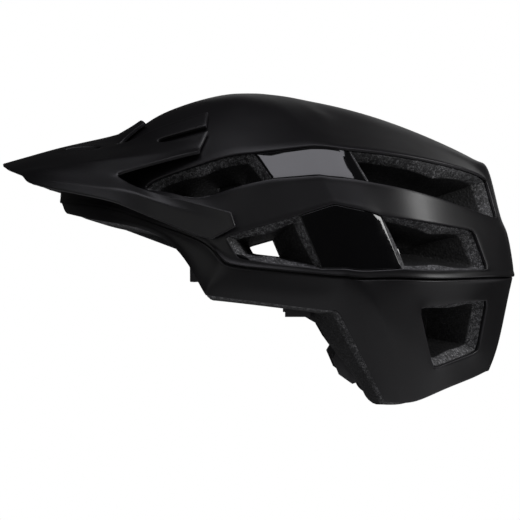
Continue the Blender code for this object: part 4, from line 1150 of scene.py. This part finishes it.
def smooth_path(points, vectors, steps=7):
    """A Catmull-Rom curve through the points, with the vectors carried along."""
    places, sides, travelled = [], [], [0.0]
    for i in range(len(points) - 1):
        p0, p1, p2, p3 = (points[min(max(i + k, 0), len(points) - 1)] for k in (-1, 0, 1, 2))
        last = i == len(points) - 2
        for step in range(steps + (1 if last else 0)):
            t = step / steps
            a = p1 * 2
            b = p2 - p0
            c = p0 * 2 - p1 * 5 + p2 * 4 - p3
            d = -p0 + p1 * 3 - p2 * 3 + p3
            places.append((a + b * t + c * t * t + d * t ** 3) * 0.5)
            sides.append((vectors[i] * (1 - t) + vectors[i + 1] * t).normalized())
    for a, b in zip(places, places[1:]):
        travelled.append(travelled[-1] + (b - a).length)
    return places, sides, travelled


STITCH_STATION, STITCH_COUNT = 30, 9
# Rings of one stitch: place along it as a share of half its length, and radius.
THREAD_RINGS = ((-1.0, 0.05), (-0.6, 0.2), (0.0, 0.26), (0.6, 0.2), (1.0, 0.05))
# Outline of a web, as shares of its width and thickness.
WEB_SECTION = (
    (-0.5, -0.25), (-0.47, -0.5), (-0.36, -0.42), (-0.18, -0.5), (0.0, -0.44), (0.18, -0.5),
    (0.36, -0.42), (0.47, -0.5), (0.5, -0.25), (0.5, 0.25), (0.47, 0.5), (0.36, 0.42),
    (0.18, 0.5), (0.0, 0.44), (-0.18, 0.5), (-0.36, 0.42), (-0.47, 0.5), (-0.5, 0.25),
)


def web_axes(places, sides, i):
    """Unit vectors along, across and out of a web at one of its places."""
    along = (places[min(i + 1, len(places) - 1)] - places[max(i - 1, 0)]).normalized()
    side = (sides[i] - along * sides[i].dot(along)).normalized()
    return along, side, along.cross(side)


def web(name, node, path, across, material):
    """Woven strap along a path, its edges a little thicker, with coordinates for its weave."""
    places, sides, travelled = smooth_path(path, across)
    sections = []
    for i, spot in enumerate(places):
        _, side, up = web_axes(places, sides, i)
        sections.append([spot + side * (u * WEB_WIDTH) + up * (v * WEB_THICKNESS) for u, v in WEB_SECTION])
    obj = loft(name, sections, False, 50)
    layer = obj.data.uv_layers.new(name="weave")
    count = len(WEB_SECTION)
    for loop in obj.data.loops:
        station, k = divmod(loop.vertex_index, count)
        layer.data[loop.index].uv = (travelled[station] * MM, WEB_SECTION[k][0] * WEB_WIDTH * MM)
    obj.data.materials.append(material)
    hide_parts(node)
    return obj, places, sides


def stitches(name, body, places, sides, material):
    """A sewn bar across a web: a zigzag of short raised threads on both faces."""
    along, side, up = web_axes(places, sides, STITCH_STATION)
    spots, faces = [], []
    for k in range(STITCH_COUNT):
        u = (k / (STITCH_COUNT - 1) - 0.5) * (WEB_WIDTH - 3)
        lean = 1.3 if k % 2 else -1.3
        for face in (-1, 1):
            middle = places[STITCH_STATION] + side * u + up * face * (WEB_THICKNESS / 2 + 0.05)
            reach = along * 1.5 + side * lean * 0.35
            base = len(spots)
            for share, radius in THREAD_RINGS:
                centre = middle + reach * share
                for q in range(6):
                    a = math.pi * q / 3
                    spots.append(centre + side * radius * math.cos(a) + up * radius * math.sin(a))
            for ring in range(4):
                for q in range(6):
                    a, b = base + ring * 6 + q, base + ring * 6 + (q + 1) % 6
                    faces.append((a, b, b + 6, a + 6))
            faces.append(tuple(base + q for q in range(6))[::-1])
            faces.append(tuple(base + 24 + q for q in range(6)))
    obj = mesh_object(name, spots, faces, 60)
    obj.data.materials.append(material)
    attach(obj, body)
    return obj


def front_strap(wall, side, web_material, thread_material):
    """The web from the front anchor over the liner to the buckle; gives the frame of the divider on it."""
    name = SIDE_NAMES[side]
    path, across = anchor_path(wall, low_seed(*ANCHOR_FRONT, side))
    seeds = [low_seed(-47, -6, side)] + [high_seed(-47 + k, 8 * k, side) for k in range(9)]
    lay_web(wall, seeds, path, across)
    station = DIVIDER_STATION
    path[station] = (path[station - 1] + path[station + 1]) / 2
    across[station - 1] = across[station + 1] = across[station]
    into_buckle = ((28, 3.2), (21, 0.6), (16.5, 0), (12.2, 0))
    path += [BUCKLE_FRAME @ Vector((0, side * y, z)) for y, z in into_buckle]
    buckle_axis = BUCKLE_FRAME.col[0].xyz
    across += [buckle_axis if buckle_axis.dot(across[-1]) > 0 else -buckle_axis] * 4
    obj, places, sides = web(f"strap_front_{name}", f"web_front_{name}", path, across, web_material)
    if side == RIGHT:
        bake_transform(obj)
    else:
        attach(obj, "helmet")
    stitches(f"stitches_front_{name}", "helmet", places, sides, thread_material)
    up = (path[station + 1] - path[station - 1]).normalized()
    level = across[station] - up * across[station].dot(up)
    level = level.normalized() * (1 if level.x > 0 else -1)
    inward = level.cross(up)
    if inward.y * side > 0:
        inward = -inward
    return frame_of(path[station], (inward, level, up))


def rear_strap(wall, side, divider_frame, web_material, thread_material):
    """The web from the rear anchor over the liner to the divider."""
    name = SIDE_NAMES[side]
    up = divider_frame.col[2].xyz
    path, across = anchor_path(wall, low_seed(*ANCHOR_REAR, side))
    seeds = [low_seed(47, -9, side), high_seed(46, 1, side)]
    seeds += [high_seed(x, angle, side) for x, angle in ((38, 12), (24, 20), (8, 27), (-8, 32))]
    lay_web(wall, seeds, path, across)
    path += [divider_frame @ Vector((0, y, 0)) for y in (20, 15, 9.2)]
    across += [up if up.dot(across[-1]) > 0 else -up] * 3
    obj, places, sides = web(f"strap_rear_{name}", f"web_rear_{name}", path, across, web_material)
    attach(obj, "helmet")
    stitches(f"stitches_rear_{name}", "helmet", places, sides, thread_material)


# ==== dial
def dial_ring(height, radii):
    """A ring round the dial's axis, with one radius per point."""
    step = 2 * math.pi / len(radii)
    spots = [(height, r * math.sin(k * step), r * math.cos(k * step)) for k, r in enumerate(radii)]
    return [DIAL_FRAME @ Vector(spot) for spot in spots]


def dial_knob(material):
    """The knob: scalloped grip with rounded shoulders round a screw recess."""
    count = 144
    scallops = 12
    grip = [0.5 - 0.5 * math.cos(2 * math.pi * scallops * k / count) for k in range(count)]
    # Height, radius and depth of the scallops.
    rings = (
        (6.8, 2.0, 0), (6.8, 9.6, 0), (7.1, 10.2, 0.2), (7.8, 10.7, 0.6),
        (8.8, 11.0, 0.9), (12.2, 11.0, 0.9), (13.1, 10.7, 0.7), (13.8, 10.1, 0.35),
        (14.1, 9.2, 0), (14.1, 7.4, 0), (13.7, 7.0, 0), (13.7, 4.4, 0),
        (14.0, 4.1, 0), (14.0, 3.6, 0), (11.6, 3.6, 0), (11.6, 2.0, 0),
    )
    sections = [dial_ring(h, [r - scallop * g for g in grip]) for h, r, scallop in rings]
    obj = loft("knob_fine", sections, True, 40)
    return place(obj, "dial_knob", material)


# ==== studio
FLOOR_RADIUS, FLOOR_HEIGHT = 0.7, -0.3
CAMERA_PLACE = (-0.0198, -1.65, 0.0013)
CAMERA_LENS = 173.1


def area_light(name, location, target, size, energy, colour=(1, 1, 1)):
    """A rectangular softbox that the camera doesn't see."""
    data = bpy.data.lights.new(name, "AREA")
    data.shape = "RECTANGLE"
    data.size, data.size_y = size
    data.energy = energy
    data.color = colour
    obj = linked(name, data)
    obj.location = location
    obj.rotation_euler = (Vector(target) - Vector(location)).to_track_quat("-Z", "Y").to_euler()
    obj.visible_camera = False


def white_surround(scene):
    """White where the camera looks past the object, and dim as a light, so that the shell stays black."""
    world = bpy.data.worlds.new("studio")
    scene.world = world
    world.use_nodes = True
    tree = world.node_tree
    background = tree.nodes["Background"]
    seen = tree.nodes.new("ShaderNodeLightPath").outputs["Is Camera Ray"]
    mix = tree.nodes.new("ShaderNodeMapRange")
    mix.inputs["To Min"].default_value = 0.02
    mix.inputs["To Max"].default_value = 1.0
    tree.links.new(seen, mix.inputs["Value"])
    tree.links.new(mix.outputs["Result"], background.inputs["Strength"])
    background.inputs["Color"].default_value = (1, 1, 1, 1)


def studio():
    """Surround, softboxes, floor and camera, in metres."""
    scene = bpy.context.scene
    scene.view_settings.view_transform = "Standard"
    white_surround(scene)
    area_light("overhead", (0.05, -0.62, 1.2), (0, 0, 0.04), (1.3, 0.8), 6.2, (0.98, 0.97, 1.05))
    area_light("rear_side", (1.35, -0.42, 0.55), (0.05, 0, 0.02), (0.6, 0.6), 9)
    area_light("front_side", (-0.9, -1.3, 0.2), (0, 0, 0.0), (0.9, 0.9), 1.3)
    area_light("far_side", (0.3, 1.5, 0.5), (0, 0, 0.0), (1.0, 0.8), 1.0)

    floor = bpy.data.meshes.new("floor")
    angles = [math.radians(a) for a in range(0, 360, 5)]
    edge = [(FLOOR_RADIUS * math.cos(a), FLOOR_RADIUS * math.sin(a), FLOOR_HEIGHT) for a in angles]
    floor.from_pydata(edge, [], [range(len(angles))])
    floor_object = linked("floor", floor)
    floor.materials.append(pale_floor())

    camera = bpy.data.cameras.new("camera")
    camera.sensor_width = 36
    camera.lens = CAMERA_LENS
    camera_object = linked("camera", camera)
    camera_object.location = CAMERA_PLACE
    camera_object.rotation_euler = (math.pi / 2, 0, 0)
    scene.camera = camera_object


# ==== the helmet
shell_paint = matte_shell("matte_shell", (0.0072, 0.0067, 0.0077))
foam = bead_foam()
moulded = nylon()
knit = pad_fabric()
strap_weave = webbing()
sewing = thread()
metal = steel()
glossy = gloss_panel()
relief = relief_panel()

outer = OuterSurface(LEVEL)
top_shell(outer, shell_paint)
lower_shell(outer, shell_paint)
insert_panels(outer, glossy, relief)
liner(outer, foam)
visor(outer, matte_shell("visor_paint", (0.0066, 0.0063, 0.0070)))
cad_wall = LinerWall()
pads(cad_wall, knit)
cradle_pads(knit)
for strap in (LEFT, RIGHT):
    divider = front_strap(cad_wall, strap, strap_weave, sewing)
    rear_strap(cad_wall, strap, divider, strap_weave, sewing)
dial_knob(moulded)
for part_node in BODY_OF:
    if not frame["nodes"][part_node].hide_render:
        refined(part_node, metal if SLOT_OF[part_node] == "steel" else moulded)
studio()
